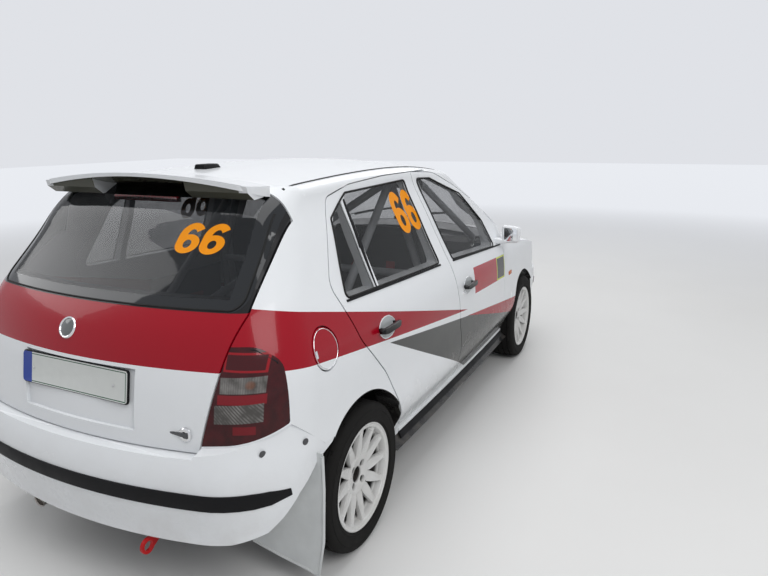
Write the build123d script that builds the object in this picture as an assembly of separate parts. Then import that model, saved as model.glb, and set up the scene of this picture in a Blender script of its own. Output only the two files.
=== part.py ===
from build123d import *
import os
from math import cos, radians, sin, sqrt

os.makedirs("parts", exist_ok=True)

# The car stands on the floor at z = 0 with its nose towards -Y, its right side towards -X.
# All sizes are in millimetres.

# Running gear
WHEELBASE = 2462
FRONT_AXLE_Y = -1180
REAR_AXLE_Y = FRONT_AXLE_Y + WHEELBASE
TYRE_R = 297
TYRE_W = 195
WHEEL_X = 717
HUB_Z = TYRE_R
RIM_LIP_R = 215
BEAD_R = 206
BARREL_R = 190
SPOKES = 12
KINGPIN_X = 690
BRAKE_DISC_R = 140
ARCH_R = 345
LINER_CLEARANCE = 5
LINER_T = 8
FRONT_LINER_X = 450
REAR_LINER_X = 552

# Gaps and thicknesses
GAP = 6
GLASS_RECESS = 5
GLASS_T = 4
GLASS_LAP = 8
SEAT_PLAY = 0.3
ROOF_T = 42
BONNET_T = 45
SCREEN_FRAME_T = 46
BUMPER_T = 55
FLOOR_T = 18
PLATE_T = 22

# Plan sections of the body shell: height, nose y, tail y, half width, wall, nose corner r, tail corner r
BODY = [
    (240, -1835, 1850, 798, 110, 300, 270),
    (420, -1868, 1890, 820, 100, 300, 270),
    (600, -1885, 1915, 825, 90, 300, 270),
    (760, -1882, 1902, 817, 88, 300, 260),
    (900, -1860, 1872, 796, 80, 300, 250),
    (1010, -1800, 1822, 752, 56, 280, 230),
    (1130, -1740, 1722, 698, 46, 260, 210),
    (1250, -1680, 1621, 647, 44, 240, 195),
    (1380, -1600, 1511, 594, 42, 220, 180),
    (1530, -1500, 1388, 527, 42, 200, 165),
]
# Plan sections of both bumpers, in the same columns
BUMPER = [
    (240, -1925, 1925, 778, BUMPER_T, 340, 330),
    (330, -1955, 1952, 802, BUMPER_T, 340, 330),
    (430, -1974, 1972, 820, BUMPER_T, 340, 330),
    (510, -1980, 1978, 826, BUMPER_T, 340, 330),
    (580, -1966, 1962, 826, BUMPER_T, 340, 330),
    (640, -1945, 1938, 822, BUMPER_T, 340, 330),
    (720, -1930, 1920, 816, BUMPER_T, 340, 330),
]
NOSE_R = 1500
TAIL_R = 2300
SIDE_R = 40000
SIDE_Y = 150

# Centre-line heights of the roof and the bonnet: y, height
ROOF = [(-700, 1352), (-220, 1430), (250, 1480), (800, 1486), (1300, 1466), (1800, 1425), (2150, 1385)]
ROOF_CROWN_R = 3500
BONNET = [(-2150, 560), (-1900, 700), (-1700, 815), (-1400, 905), (-1050, 968), (-600, 1020)]
BONNET_CROWN_R = 3600
CROWN_HALF = 900
ROOF_EDGE_R = 46

# Windscreen: a bowed sheet that rises backwards
SCREEN_FOOT = (-925, 1000)
SCREEN_RUN = (663, 380)
SCREEN_BOW_R = 1500
SCREEN_REACH = 2100

# Side outlines: y, height on the skin, corner radius
FRONT_DOOR = [
    (-645, 332, 45), (-652, 1050, 20), (-463, 1191, 500), (-188, 1326, 600), (48, 1404, 500),
    (338, 1421, 14), (210, 700, 500), (222, 555, 250), (296, 332, 20),
]
REAR_DOOR = [
    (150, 332, 20), (150, 1421, 14), (648, 1421, 900), (957, 1409, 500), (1150, 1376, 60),
    (1345, 1075, 90), (1262, 850, 200), (1080, 655, 400), (905, 332, 60),
]
FRONT_WINDOW = [
    (-478, 930, 20), (-432, 1092, 40), (-235, 1266, 300), (110, 1374, 200), (283, 1384, 12), (212, 975, 14),
]
REAR_WINDOW = [(392, 985, 14), (436, 1388, 14), (1000, 1374, 60), (1160, 1292, 120), (1268, 1014, 22)]
DOOR_APEX = 1000
DOOR_NEAR_X = 440
DOOR_FAR_X = 900
FRONT_DOOR_CENTRE = (-190, 860)
REAR_DOOR_CENTRE = (700, 860)
DIVIDER_Y = 1032
DIVIDER_W = 34

# Rear outlines: half width, height
BEHIND_Y = 2100
TAILGATE = [(508, 612), (592, 965), (612, 1046), (574, 1500)]
REAR_GLASS = [(604, 1054), (566, 1424)]
TAILGATE_SEAM_Y = 1392
ROOF_SEAM_X = 528
REAR_GLASS_LAP = 34
PLATE_RECESS = (271, 661, 866)
PLATE_RECESS_DEPTH = 12
# Side outline of the tail lamps: y, height, corner radius
LAMP = [(1702, 703, 12), (1686, 905, 60), (1730, 958, 40), (1960, 962, 5), (1960, 600, 5), (1880, 626, 5)]
BUMPER_SEAM = [(1500, 573), (1560, 573), (1698, 697), (1880, 620), (1915, 604), (2050, 604)]
# The rear bumper's lower edge runs down and back from the wheel arch
BUMPER_UNDERSIDE = [(2050, 284), (1850, 296), (1775, 325), (1740, 370), (1690, 449), (1610, 528), (1500, 560)]
FLAP_ROOM_Z = 456
FUEL_FLAP = (1490, 890)
FUEL_FLAP_R = 72
FUEL_FLAP_T = 10

# Front outlines
BONNET_PLAN = [(-660, -868), (-648, -1350), (-596, -1700), (-520, -2100)]
BONNET_REAR_Y = -1000
BONNET_LIP_Z = 722
HEADLAMP = [(392, 596), (392, 712), (640, 716), (752, 700), (770, 640), (700, 600)]
GRILLE_HALF = 376
GRILLE_Z = (600, 710)
FRONT_BUMPER_TOP = 588
FRONT_BUMPER_Y = -1440
INTAKE_HALF = 400
INTAKE_Z = (310, 430)
PILLAR_FOOT_Z = 958
FENDER_REAR_Y = -652
PILLAR_Y = (170, 286)
PILLAR_T = 40
PILLAR_LOW_Z = 251
PILLAR_FOOT_TOP_Z = 322


def solid(shape):
    """The one biggest solid of a boolean's result."""
    return max(shape.solids(), key=lambda s: s.volume)


def box(x0, x1, y0, y1, z0, z1):
    return Solid.make_box(x1 - x0, y1 - y0, z1 - z0, Plane(origin=(x0, y0, z0)))


def both(shape):
    return shape, mirror(shape, Plane.YZ)


def pair(shape):
    return Compound(children=[*shape.solids(), *mirror(shape, Plane.YZ).solids()])


def save(name, shape):
    export_step(shape, f"parts/{name}.step")


def face(points):
    """A flat face in x, y from points with corner radii."""
    corners = [(a, b) for a, b, _ in points]
    return make_face(FilletPolyline(*corners, radius=[r for _, _, r in points], close=True)).face()


def side_prism(points, x0, x1):
    """A straight prism across the car from a side outline of y, height."""
    plane = Plane(origin=(x0, 0, 0), x_dir=(0, 1, 0), z_dir=(1, 0, 0))
    return extrude(plane * make_face(Polyline(*points, close=True)), x1 - x0)


def rounded_side_prism(points, x0, x1):
    plane = Plane(origin=(x0, 0, 0), x_dir=(0, 1, 0), z_dir=(1, 0, 0))
    return extrude(plane * face(points), x1 - x0)


def end_prism(points, y0, y1):
    """A straight prism along the car from an end outline of x, height."""
    plane = Plane(origin=(0, y1, 0), x_dir=(1, 0, 0), z_dir=(0, -1, 0))
    return extrude(plane * make_face(Polyline(*points, close=True)), y1 - y0)


def plan_prism(points, z0, z1):
    return extrude(Plane.XY.offset(z0) * make_face(Polyline(*points, close=True)), z1 - z0)


def mirrored(points):
    """A symmetric outline from its right half, whose first value is a distance from the centre."""
    return [*points, *[(-x, z) for x, z in reversed(points)]]


def tube(a, b, r):
    a, b = Vector(*a), Vector(*b)
    return Solid.make_cylinder(r, (b - a).length, Plane(origin=a, z_dir=(b - a).normalized()))


def section(row, inset):
    """A closed plan outline: bowed nose and tail, nearly flat sides and round corners."""
    z, nose_y, tail_y, half, wall, front_r, rear_r = row
    inset = wall if inset is None else inset
    nose_y, tail_y, half = nose_y + inset, tail_y - inset, half - inset
    nose_r, tail_r, side_r = NOSE_R - inset, TAIL_R - inset, SIDE_R - inset
    nose_c = Vector(0, nose_y + nose_r, z)
    tail_c = Vector(0, tail_y - tail_r, z)
    side_c = Vector(half - side_r, SIDE_Y, z)

    def corner(end_c, end_r, r, towards):
        span = end_c - side_c
        a, b = side_r - r, end_r - r
        along = (a * a - b * b + span.length ** 2) / (2 * span.length)
        away = sqrt(a * a - along * along)
        u = span.normalized()
        n = Vector(-u.Y, u.X, 0)
        c = max((side_c + u * along + n * s * away for s in (1, -1)), key=lambda p: p.X + towards * p.Y)
        to_end, to_side = (c - end_c).normalized() * r, (c - side_c).normalized() * r
        return c + to_end, c + (to_end + to_side).normalized() * r, c + to_side

    def between(c, r, p, q):
        return c + ((p - c) + (q - c)).normalized() * r

    nose, tail = Vector(0, nose_y, z), Vector(0, tail_y, z)
    n_end, n_mid, n_side = corner(nose_c, nose_r, max(front_r - inset, 40), -1)
    t_end, t_mid, t_side = corner(tail_c, tail_r, max(rear_r - inset, 40), 1)
    half_line = [
        (nose, between(nose_c, nose_r, nose, n_end), n_end),
        (n_end, n_mid, n_side),
        (n_side, between(side_c, side_r, n_side, t_side), t_side),
        (t_side, t_mid, t_end),
        (t_end, between(tail_c, tail_r, t_end, tail), tail),
    ]
    other = [tuple(Vector(-p.X, p.Y, p.Z) for p in reversed(arc)) for arc in reversed(half_line)]
    return Wire([Edge.make_three_point_arc(*arc) for arc in half_line + other])


def plan_loft(rows, inset):
    return Solid.make_loft([section(row, inset) for row in rows], False)


def under_crown(line, crown_r, drop):
    """Everything below a crowned sheet that follows a centre line of y, height."""
    fall = CROWN_HALF ** 2 / (2 * crown_r)
    rings = []
    for y, z in line:
        top, edge = z - drop, z - drop - fall
        arc = Edge.make_three_point_arc((-CROWN_HALF, y, edge), (0, y, top), (CROWN_HALF, y, edge))
        rest = Wire.make_polygon(
            [(CROWN_HALF, y, edge), (CROWN_HALF, y, 0), (-CROWN_HALF, y, 0), (-CROWN_HALF, y, edge)], close=False
        )
        rings.append(Wire([arc, *rest.edges()]))
    return Solid.make_loft(rings, False)


def screen_frame():
    """Unit vectors up the windscreen and out of it."""
    run, rise = SCREEN_RUN
    length = sqrt(run * run + rise * rise)
    up = Vector(0, run / length, rise / length)
    return up, Vector(0, -up.Z, up.Y)


def behind_screen(inset):
    """Everything behind the windscreen's bowed sheet."""
    up, out = screen_frame()
    foot = Vector(0, *SCREEN_FOOT) - up * SCREEN_REACH - out * inset
    y0, z0 = foot.Y, foot.Z
    bow = CROWN_HALF ** 2 / (2 * SCREEN_BOW_R)
    back = y0 + 2 * SCREEN_REACH + 2000
    front = Edge.make_three_point_arc((-CROWN_HALF, y0 + bow, z0), (0, y0, z0), (CROWN_HALF, y0 + bow, z0))
    rest = Wire.make_polygon(
        [(CROWN_HALF, y0 + bow, z0), (CROWN_HALF, back, z0), (-CROWN_HALF, back, z0), (-CROWN_HALF, y0 + bow, z0)],
        close=False,
    )
    base = Face(Wire([front, *rest.edges()]))
    return Solid.extrude(base, up * 1.5 * SCREEN_REACH)


def envelope(side, roof, screen, bonnet):
    """The whole closed body form, with each face moved in by its own amount."""
    cabin = behind_screen(screen) & under_crown(ROOF, ROOF_CROWN_R, roof)
    lid = under_crown(BONNET, BONNET_CROWN_R, bonnet)
    return solid(plan_loft(BODY, side) & (cabin + lid))


def half_width(z):
    """The shell's half width at a height, read between its sections."""
    for low, high in zip(BODY, BODY[1:]):
        if z <= high[0]:
            return low[3] + (high[3] - low[3]) * (z - low[0]) / (high[0] - low[0])
    return BODY[-1][3]


def flared(points, centre, grow, side=-1):
    """A solid through a side outline on the skin that widens outwards, as a door's edges do."""
    cy, cz = centre
    corners = []
    for y, z, r in points:
        k = (DOOR_APEX + DOOR_FAR_X) / (DOOR_APEX + half_width(z))
        corners.append((cy + (y - cy) * k, cz + (z - cz) * k, r))
    flat = offset(face(corners), amount=grow * (DOOR_APEX + DOOR_FAR_X) / (DOOR_APEX + BODY[2][3])).face()
    rings = []
    for x in (DOOR_NEAR_X, DOOR_FAR_X):
        k = (DOOR_APEX + x) / (DOOR_APEX + DOOR_FAR_X)
        plane = Plane(origin=(side * x, 0, 0), x_dir=(0, 1, 0), z_dir=(1, 0, 0))
        wire = flat.outer_wire().scale(k, about=(cy, cz, 0))
        rings.append(plane.from_local_coords(wire))
    return Solid.make_loft(rings, True)


def window_prism(points, grow):
    flat = face(points)
    if grow:
        flat = offset(flat, amount=grow).face()
    plane = Plane(origin=(-DOOR_FAR_X, 0, 0), x_dir=(0, 1, 0), z_dir=(1, 0, 0))
    return extrude(plane * flat, DOOR_FAR_X - DOOR_NEAR_X)


def arch(axle_y, r):
    return tube((-1000, axle_y, HUB_Z), (-REAR_LINER_X, axle_y, HUB_Z), r)


# The shell: an outer form with rounded roof edges, and an inner form
outer = envelope(0, 0, 0, 0)
roof_edges = [e for e in outer.edges() if e.center().Z > 1385 and abs(e.center().X) > 300]
outer = fillet(roof_edges, ROOF_EDGE_R).solid()
inner = envelope(None, ROOF_T, SCREEN_FRAME_T, BONNET_T)
wall = outer - inner


def side_skin(near, far):
    """A thin layer of the shell's sides and tail, between two depths below the surface."""
    return plan_loft(BODY, near) - plan_loft(BODY, far)


def screen_skin(near, far):
    return behind_screen(near) - behind_screen(far)


pane_depths = (GLASS_RECESS, GLASS_RECESS + GLASS_T)
groove_depths = (GLASS_RECESS - SEAT_PLAY, GLASS_RECESS + GLASS_T + SEAT_PLAY)
pane_skin = side_skin(*pane_depths)
groove_skin = side_skin(*groove_depths)


def screen_prism(grow):
    """The windscreen's outline, square to its sheet."""
    up, out = screen_frame()
    plane = Plane(origin=Vector(0, *SCREEN_FOOT) - out * 300, x_dir=(1, 0, 0), z_dir=out)
    low = Edge.make_three_point_arc((-672, 150), (0, 12), (672, 150))
    high = Edge.make_three_point_arc((548, 858), (0, 799), (-548, 858))
    sides = [Edge.make_line((672, 150), (548, 858)), Edge.make_line((-548, 858), (-672, 150))]
    flat = make_face([low, sides[0], high, sides[1]]).face()
    flat = fillet(flat.vertices(), 42).face()
    if grow:
        flat = offset(flat, amount=grow).face()
    return extrude(plane * flat, 600)


# Zones that split the shell at its real gaps
screen_zone = screen_prism(0)
tailgate_zone = end_prism(mirrored([(-x, z) for x, z in TAILGATE]), TAILGATE_SEAM_Y, BEHIND_Y)
bonnet_points = [*BONNET_PLAN, *[(-x, y) for x, y in reversed(BONNET_PLAN)]]
bonnet_zone = plan_prism(bonnet_points, BONNET_LIP_Z, 1300)
cowl_line = Edge.make_three_point_arc(
    (-660, BONNET_PLAN[0][1]), (0, BONNET_REAR_Y), (660, BONNET_PLAN[0][1])
)
cowl_rest = Wire.make_polygon(
    [(660, BONNET_PLAN[0][1]), (660, 0), (-660, 0), (-660, BONNET_PLAN[0][1])], close=False
)
behind_bonnet = extrude(Plane.XY.offset(500) * Face(Wire([cowl_line, *cowl_rest.edges()])), 1000)
bonnet_zone = bonnet_zone - behind_bonnet

body = wall - screen_zone - (screen_skin(*groove_depths) & screen_prism(GLASS_LAP + SEAT_PLAY))
windscreen = solid(screen_skin(*pane_depths) & screen_prism(GLASS_LAP))
save("windscreen", windscreen)

# Tailgate, with its glass bonded flush over its frame
tail_plane = Plane(origin=(0, BEHIND_Y, 0), x_dir=(1, 0, 0), z_dir=(0, -1, 0))
tailgate_flat = make_face(Polyline(*mirrored([(-x, z) for x, z in TAILGATE]), close=True)).face()
tailgate_flat = offset(tailgate_flat, amount=GAP, kind=Kind.INTERSECTION).face()
tailgate_hole = extrude(tail_plane * tailgate_flat, BEHIND_Y - TAILGATE_SEAM_Y)
tailgate = solid(body & tailgate_zone & box(-900, 900, TAILGATE_SEAM_Y + GAP, BEHIND_Y, 0, 1600))
glass_outline = mirrored([(-x, z) for x, z in REAR_GLASS])
glass_flat = fillet(make_face(Polyline(*glass_outline, close=True)).vertices(), 40).face()
bonded = side_skin(0, GLASS_RECESS)
seat_skin = side_skin(-1, GLASS_RECESS + SEAT_PLAY)
frame_band = offset(glass_flat, amount=-REAR_GLASS_LAP).face()
rear_glass = solid(bonded & extrude(tail_plane * glass_flat, 700))
tailgate = tailgate - extrude(tail_plane * frame_band, 700)
tailgate = tailgate - (seat_skin & extrude(tail_plane * offset(glass_flat, amount=SEAT_PLAY).face(), 700))
half_w, recess_low, recess_high = PLATE_RECESS
recess_flat = Pos(0, (recess_low + recess_high) / 2) * Rectangle(2 * half_w, recess_high - recess_low)
tailgate = tailgate - (side_skin(-1, PLATE_RECESS_DEPTH) & extrude(tail_plane * recess_flat, 700))
tailgate = solid(tailgate)
save("tailgate", tailgate)
save("rear_glass", rear_glass)

# Bonnet
bonnet = solid(body & bonnet_zone)
bonnet_hole = plan_prism(
    [(x * (1 + GAP / 650), y) for x, y in bonnet_points], BONNET_LIP_Z - GAP, 1300
) - behind_bonnet.moved(Location((0, GAP, 0)))
save("bonnet", bonnet)

body = body - tailgate_hole - bonnet_hole

# One side of the shell, with its doors cut out; the other side is its mirror
half = body & box(-1000, 0, -2100, 2100, 0, 1600)
half = half - arch(FRONT_AXLE_Y, ARCH_R) - arch(REAR_AXLE_Y, ARCH_R)
skin_half = wall & box(-1000, 0, -2100, 2100, 0, 1600)
front_form = flared(FRONT_DOOR, FRONT_DOOR_CENTRE, -GAP / 2)
front_hole = flared(FRONT_DOOR, FRONT_DOOR_CENTRE, GAP / 2)
rear_form = flared(REAR_DOOR, REAR_DOOR_CENTRE, -GAP / 2)
rear_hole = flared(REAR_DOOR, REAR_DOOR_CENTRE, GAP / 2)


def glazed(door, outline):
    door = door - window_prism(outline, 0) - (groove_skin & window_prism(outline, GLASS_LAP + SEAT_PLAY))
    return solid(door), solid(pane_skin & window_prism(outline, GLASS_LAP))


front_door, front_pane = glazed(solid(skin_half & front_form), FRONT_WINDOW)
rear_door = solid((skin_half & rear_form) - front_hole - arch(REAR_AXLE_Y, ARCH_R))
divider = rear_door & box(-900, 0, DIVIDER_Y - DIVIDER_W / 2, DIVIDER_Y + DIVIDER_W / 2, 900, 1450)
rear_door, rear_pane = glazed(rear_door, REAR_WINDOW)
rear_door = solid(rear_door + (divider - groove_skin))

for name, shape in (("door_front", front_door), ("door_rear", rear_door),
                    ("glass_front", front_pane), ("glass_rear", rear_pane)):
    right, left = both(shape)
    save(f"{name}_right", right)
    save(f"{name}_left", left)

half = half - front_hole - rear_hole

# Bumpers wrap round both ends below their seams
bumper_shell = plan_loft(BUMPER, 0) - plan_loft(BUMPER, None)
rear_bumper_zone = side_prism([(1480, 200), *BUMPER_SEAM, (2050, 200)], -1000, 1000)
front_bumper_zone = side_prism(
    [(FRONT_BUMPER_Y, 200), (FRONT_BUMPER_Y, FRONT_BUMPER_TOP), (-2050, FRONT_BUMPER_TOP), (-2050, 200)], -1000, 1000
)
arches = Compound(children=[
    tube((-1000, FRONT_AXLE_Y, HUB_Z), (1000, FRONT_AXLE_Y, HUB_Z), ARCH_R),
    tube((-1000, REAR_AXLE_Y, HUB_Z), (1000, REAR_AXLE_Y, HUB_Z), ARCH_R),
])
rear_bumper_form = side_prism([*BUMPER_SEAM, *BUMPER_UNDERSIDE], -1000, 1000)
rear_bumper = solid((bumper_shell & rear_bumper_form) - arches - tailgate_hole)
front_bumper = (bumper_shell & front_bumper_zone) - arches
intake = box(-INTAKE_HALF, INTAKE_HALF, -2100, -1700, *INTAKE_Z)
front_bumper = solid(front_bumper - intake)
save("rear_bumper", rear_bumper)
save("front_bumper", front_bumper)
half = half - rear_bumper_zone - front_bumper_zone

# Lamps and grille fill holes in the ends
lamp_zone = rounded_side_prism(LAMP, -1000, 0) - tailgate_hole - rear_bumper_zone
tail_lamp = solid(half & lamp_zone)
half = half - lamp_zone
headlamp_zone = end_prism([(-x, z) for x, z in HEADLAMP], -2100, -1500)
headlamp = solid(half & headlamp_zone)
half = half - headlamp_zone
grille_zone = box(-GRILLE_HALF, GRILLE_HALF, -2100, -1500, *GRILLE_Z)
half = half - grille_zone
save("tail_lamps", pair(tail_lamp))
save("headlamps", pair(headlamp))

# What is left of the half shell: fender, side frame, half of the roof, cowl and nose
roof_zone = box(-ROOF_SEAM_X, 0, -420, TAILGATE_SEAM_Y, 1300, 1600)
roof_half = solid(half & roof_zone)
roof = solid(roof_half + mirror(roof_half, Plane.YZ))
half = half - roof_zone
fender_zone = box(-1000, 0, -2100, FENDER_REAR_Y, 0, PILLAR_FOOT_Z)
cowl_zone = box(-660, 0, -1100, -400, 850, 1100)
cowl_half = half & cowl_zone
half = half - cowl_zone
fender = solid(half & fender_zone)
side_frame = solid(half - fender_zone)
save("roof", roof)
save("fenders", pair(fender))
flap_spot = tube((-1000, *FUEL_FLAP), (-740, *FUEL_FLAP), FUEL_FLAP_R)
flap_hole = tube((-1000, *FUEL_FLAP), (-740, *FUEL_FLAP), FUEL_FLAP_R + GAP)
lid_skin = side_skin(0, FUEL_FLAP_T)
fuel_flap = solid(lid_skin & flap_spot)
cup = side_skin(-1, FUEL_FLAP_T * 3)
save("fuel_flap", fuel_flap)


def thicker(by):
    return [(z, nose, tail, w, wall_t + by, fr, rr) for z, nose, tail, w, wall_t, fr, rr in BODY]


pillar = plan_loft(thicker(GAP), None) - plan_loft(thicker(GAP + PILLAR_T), None)
pillar = pillar & box(-900, 0, *PILLAR_Y, PILLAR_LOW_Z, 1500) & inner
pillar = pillar + box(-745, -650, *PILLAR_Y, PILLAR_LOW_Z, PILLAR_FOOT_TOP_Z)
side_frame = solid(side_frame + pillar)
save("side_frame_right", solid(side_frame - (cup & flap_hole)))
save("side_frame_left", mirror(side_frame, Plane.YZ))


# Running gear: every round piece is turned about the X axis at the origin, then set on its hub
def turned(points):
    return revolve(Plane.XZ * make_face(Polyline(*points, close=True)), Axis.X).solid()


def at_hub(shape, axle_y, side):
    """A right-hand piece, outer side towards -X, on a hub of either side."""
    moved = shape.moved(Location((-WHEEL_X, axle_y, HUB_Z)))
    return moved if side < 0 else mirror(moved, Plane.YZ)


TYRE_HALF = [(-75, BEAD_R), (-TYRE_W / 2, 240), (-92, 278), (-66, TYRE_R)]
tyre = turned([*TYRE_HALF, *[(-x, r) for x, r in reversed(TYRE_HALF)]])
BARREL = [
    (-89, RIM_LIP_R), (-82, RIM_LIP_R), (-76, BEAD_R), (-50, 204), (-30, 182), (34, 182), (50, 204), (76, BEAD_R),
    (82, RIM_LIP_R), (88, RIM_LIP_R), (84, 198), (56, 196), (40, 174), (-36, 174), (-56, 196), (-86, 205),
]
HUB = [(-52, 34), (-52, 58), (-44, 70), (-20, 72), (-20, 34)]
# A spoke's ring radius, width, outer face and depth, from hub to barrel
SPOKE = [(60, 30, -50, 30), (140, 19, -66, 22), (201, 21, -84, 22)]


def spoke(turn):
    rings = []
    for r, width, front, depth in SPOKE:
        plane = Plane(origin=(front + depth / 2, 0, r), x_dir=(1, 0, 0), z_dir=(0, 0, 1))
        rings.append((plane * Rectangle(depth, width)).wire())
    return Solid.make_loft(rings, True).rotate(Axis.X, turn)


rim = turned(BARREL) + turned(HUB)
for n in range(SPOKES):
    rim = rim + spoke(360 * n / SPOKES)
rim = solid(rim)
for end, axle_y in (("front", FRONT_AXLE_Y), ("rear", REAR_AXLE_Y)):
    for hand, side in (("right", -1), ("left", 1)):
        save(f"tyre_{end}_{hand}", at_hub(tyre, axle_y, side))
        save(f"rim_{end}_{hand}", at_hub(rim, axle_y, side))

# Front knuckles carry hub, disc, caliper and strut; x is counted inwards from the wheel's middle
STUB_OUT = -15
STUB_IN = 62
STUB_R = 60
BRAKE_DISC_OUT = -4
BRAKE_DISC_T = 20
UPRIGHT = (34, 80, -32, 32, -98, 118)
STRUT_ARM = (34, 190, -26, 26, 86, 118)
CALIPER = (-12, 60, 78, 122, -70, 88)
STEER_ARM = (20, 60, 0, 100, -20, 20)
STRUT_X = 168
DAMPER_R = 24
DAMPER_Z = (86, 326)
SPRING_R = 54
SPRING_Z = (180, 312)


def upright_tube(r, low, high):
    return Solid.make_cylinder(r, high - low, Plane(origin=(STRUT_X, 0, low)))


knuckle = tube((STUB_OUT, 0, 0), (STUB_IN, 0, 0), STUB_R)
knuckle = knuckle + tube((BRAKE_DISC_OUT, 0, 0), (BRAKE_DISC_OUT + BRAKE_DISC_T, 0, 0), BRAKE_DISC_R)
for block in (UPRIGHT, STRUT_ARM, CALIPER, STEER_ARM):
    knuckle = knuckle + box(*block)
knuckle = solid(knuckle + upright_tube(DAMPER_R, *DAMPER_Z) + upright_tube(SPRING_R, *SPRING_Z))
for hand, side in (("right", -1), ("left", 1)):
    save(f"knuckle_{hand}", at_hub(knuckle, FRONT_AXLE_Y, side))

# Front subframe, wishbones, drive shafts and steering rack
ARM_Z = HUB_Z - 124
arm = plan_prism(
    [(-330, FRONT_AXLE_Y - 140), (-560, FRONT_AXLE_Y - 46), (-686, FRONT_AXLE_Y - 24),
     (-686, FRONT_AXLE_Y + 24), (-560, FRONT_AXLE_Y + 46), (-330, FRONT_AXLE_Y + 140)], ARM_Z - 16, ARM_Z)
arm = arm + tube((-KINGPIN_X + 26, FRONT_AXLE_Y, ARM_Z - 8), (-KINGPIN_X + 26, FRONT_AXLE_Y, ARM_Z + 20), 11)
cradle = box(-350, 0, FRONT_AXLE_Y - 160, FRONT_AXLE_Y + 160, ARM_Z - 20, ARM_Z + 30)
cradle = cradle - box(-290, 1, FRONT_AXLE_Y - 100, FRONT_AXLE_Y + 100, ARM_Z - 30, ARM_Z + 40)
rack = tube((-430, FRONT_AXLE_Y + 150, 262), (0, FRONT_AXLE_Y + 150, 262), 24)
rack_post = box(-300, -240, FRONT_AXLE_Y + 130, FRONT_AXLE_Y + 160, ARM_Z + 20, 262)
half_frame = solid(cradle + arm + rack + rack_post)
save("front_subframe", solid(half_frame + mirror(half_frame, Plane.YZ)))

# Engine and gearbox, with the drive shafts
ENGINE_BLOCK = (-250, 230, -1500, -1090, 300, 700)
ENGINE_HEAD = (-200, 180, -1460, -1160, 700, 800)
GEARBOX = (230, 360, -1400, -1100, 240, 480)
SHAFT_R = 16
SHAFT_HALF = 618
engine = box(*ENGINE_BLOCK) + box(*ENGINE_HEAD) + box(*GEARBOX)
engine = engine + tube((-SHAFT_HALF, FRONT_AXLE_Y, HUB_Z), (SHAFT_HALF, FRONT_AXLE_Y, HUB_Z), SHAFT_R)
save("engine", solid(engine))

# Rear twist-beam axle with drums
BEAM_BACK = 190
BEAM_R = 38
ARM_X = (-535, -480)
REAR_SPRING_X = -440
REAR_SPRING_R = 52
REAR_SPRING_BACK = 60
beam = tube((-500, REAR_AXLE_Y - BEAM_BACK, 292), (0, REAR_AXLE_Y - BEAM_BACK, 292), BEAM_R)
trail = side_prism(
    [(REAR_AXLE_Y - 335, 290), (REAR_AXLE_Y - 335, 340), (REAR_AXLE_Y - BEAM_BACK, 330), (REAR_AXLE_Y + 40, 330),
     (REAR_AXLE_Y + 40, 262), (REAR_AXLE_Y - BEAM_BACK, 250)], *ARM_X)
stub = tube((-690, REAR_AXLE_Y, HUB_Z), (-500, REAR_AXLE_Y, HUB_Z), 30)
drum = tube((-WHEEL_X - 15, REAR_AXLE_Y, HUB_Z), (-655, REAR_AXLE_Y, HUB_Z), 118)
spring_y = REAR_AXLE_Y - REAR_SPRING_BACK
spring = tube((REAR_SPRING_X, spring_y, 280), (REAR_SPRING_X, spring_y, 394), REAR_SPRING_R)
seat_pan = box(REAR_SPRING_X - 60, REAR_SPRING_X + 60, spring_y - 70, spring_y + 60, 262, 285)
half_axle = solid(beam + trail + stub + drum + spring + seat_pan)
save("rear_axle", solid(half_axle + mirror(half_axle, Plane.YZ)))

# Floor, rear panel and wheel housings
FLOOR_Z = 232
BOOT_FLOOR_Z = 395
REAR_PANEL_Y = 1812
floor_line = [
    (-812, FLOOR_Z), (REAR_AXLE_Y - 480, FLOOR_Z), (REAR_AXLE_Y - 350, BOOT_FLOOR_Z), (REAR_PANEL_Y, BOOT_FLOOR_Z),
    (REAR_PANEL_Y, 262), (REAR_PANEL_Y + FLOOR_T, 262), (REAR_PANEL_Y + FLOOR_T, 600),
    (REAR_PANEL_Y, 600), (REAR_PANEL_Y, BOOT_FLOOR_Z + FLOOR_T),
    (REAR_AXLE_Y - 358, BOOT_FLOOR_Z + FLOOR_T), (REAR_AXLE_Y - 488, FLOOR_Z + FLOOR_T), (-812, FLOOR_Z + FLOOR_T),
]
inner_plan = plan_loft(BODY, None)
floor_pan = side_prism(floor_line, -CROWN_HALF, CROWN_HALF) & inner_plan
LINER_R = ARCH_R + LINER_CLEARANCE
wheel_room = Compound(children=[
    tube((-1000, REAR_AXLE_Y, HUB_Z), (-REAR_LINER_X + LINER_T, REAR_AXLE_Y, HUB_Z), LINER_R + LINER_T),
    tube((REAR_LINER_X - LINER_T, REAR_AXLE_Y, HUB_Z), (1000, REAR_AXLE_Y, HUB_Z), LINER_R + LINER_T),
])
floor_pan = solid(floor_pan - wheel_room)
save("floor_pan", floor_pan)


def housing(axle_y, near_x, wall_z):
    far_x = 780
    ring = tube((-far_x, axle_y, HUB_Z), (-near_x, axle_y, HUB_Z), LINER_R + LINER_T)
    ring = ring - tube((-far_x - 1, axle_y, HUB_Z), (-near_x + 1, axle_y, HUB_Z), LINER_R)
    cheek = tube((-near_x, axle_y, HUB_Z), (-near_x + LINER_T, axle_y, HUB_Z), LINER_R + LINER_T)
    ring = ring & box(-1000, 0, -3000, 3000, 255, 900)
    cheek = cheek & box(-1000, 0, -3000, 3000, wall_z, 900)
    return solid((ring + cheek) & inner_plan)


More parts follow.
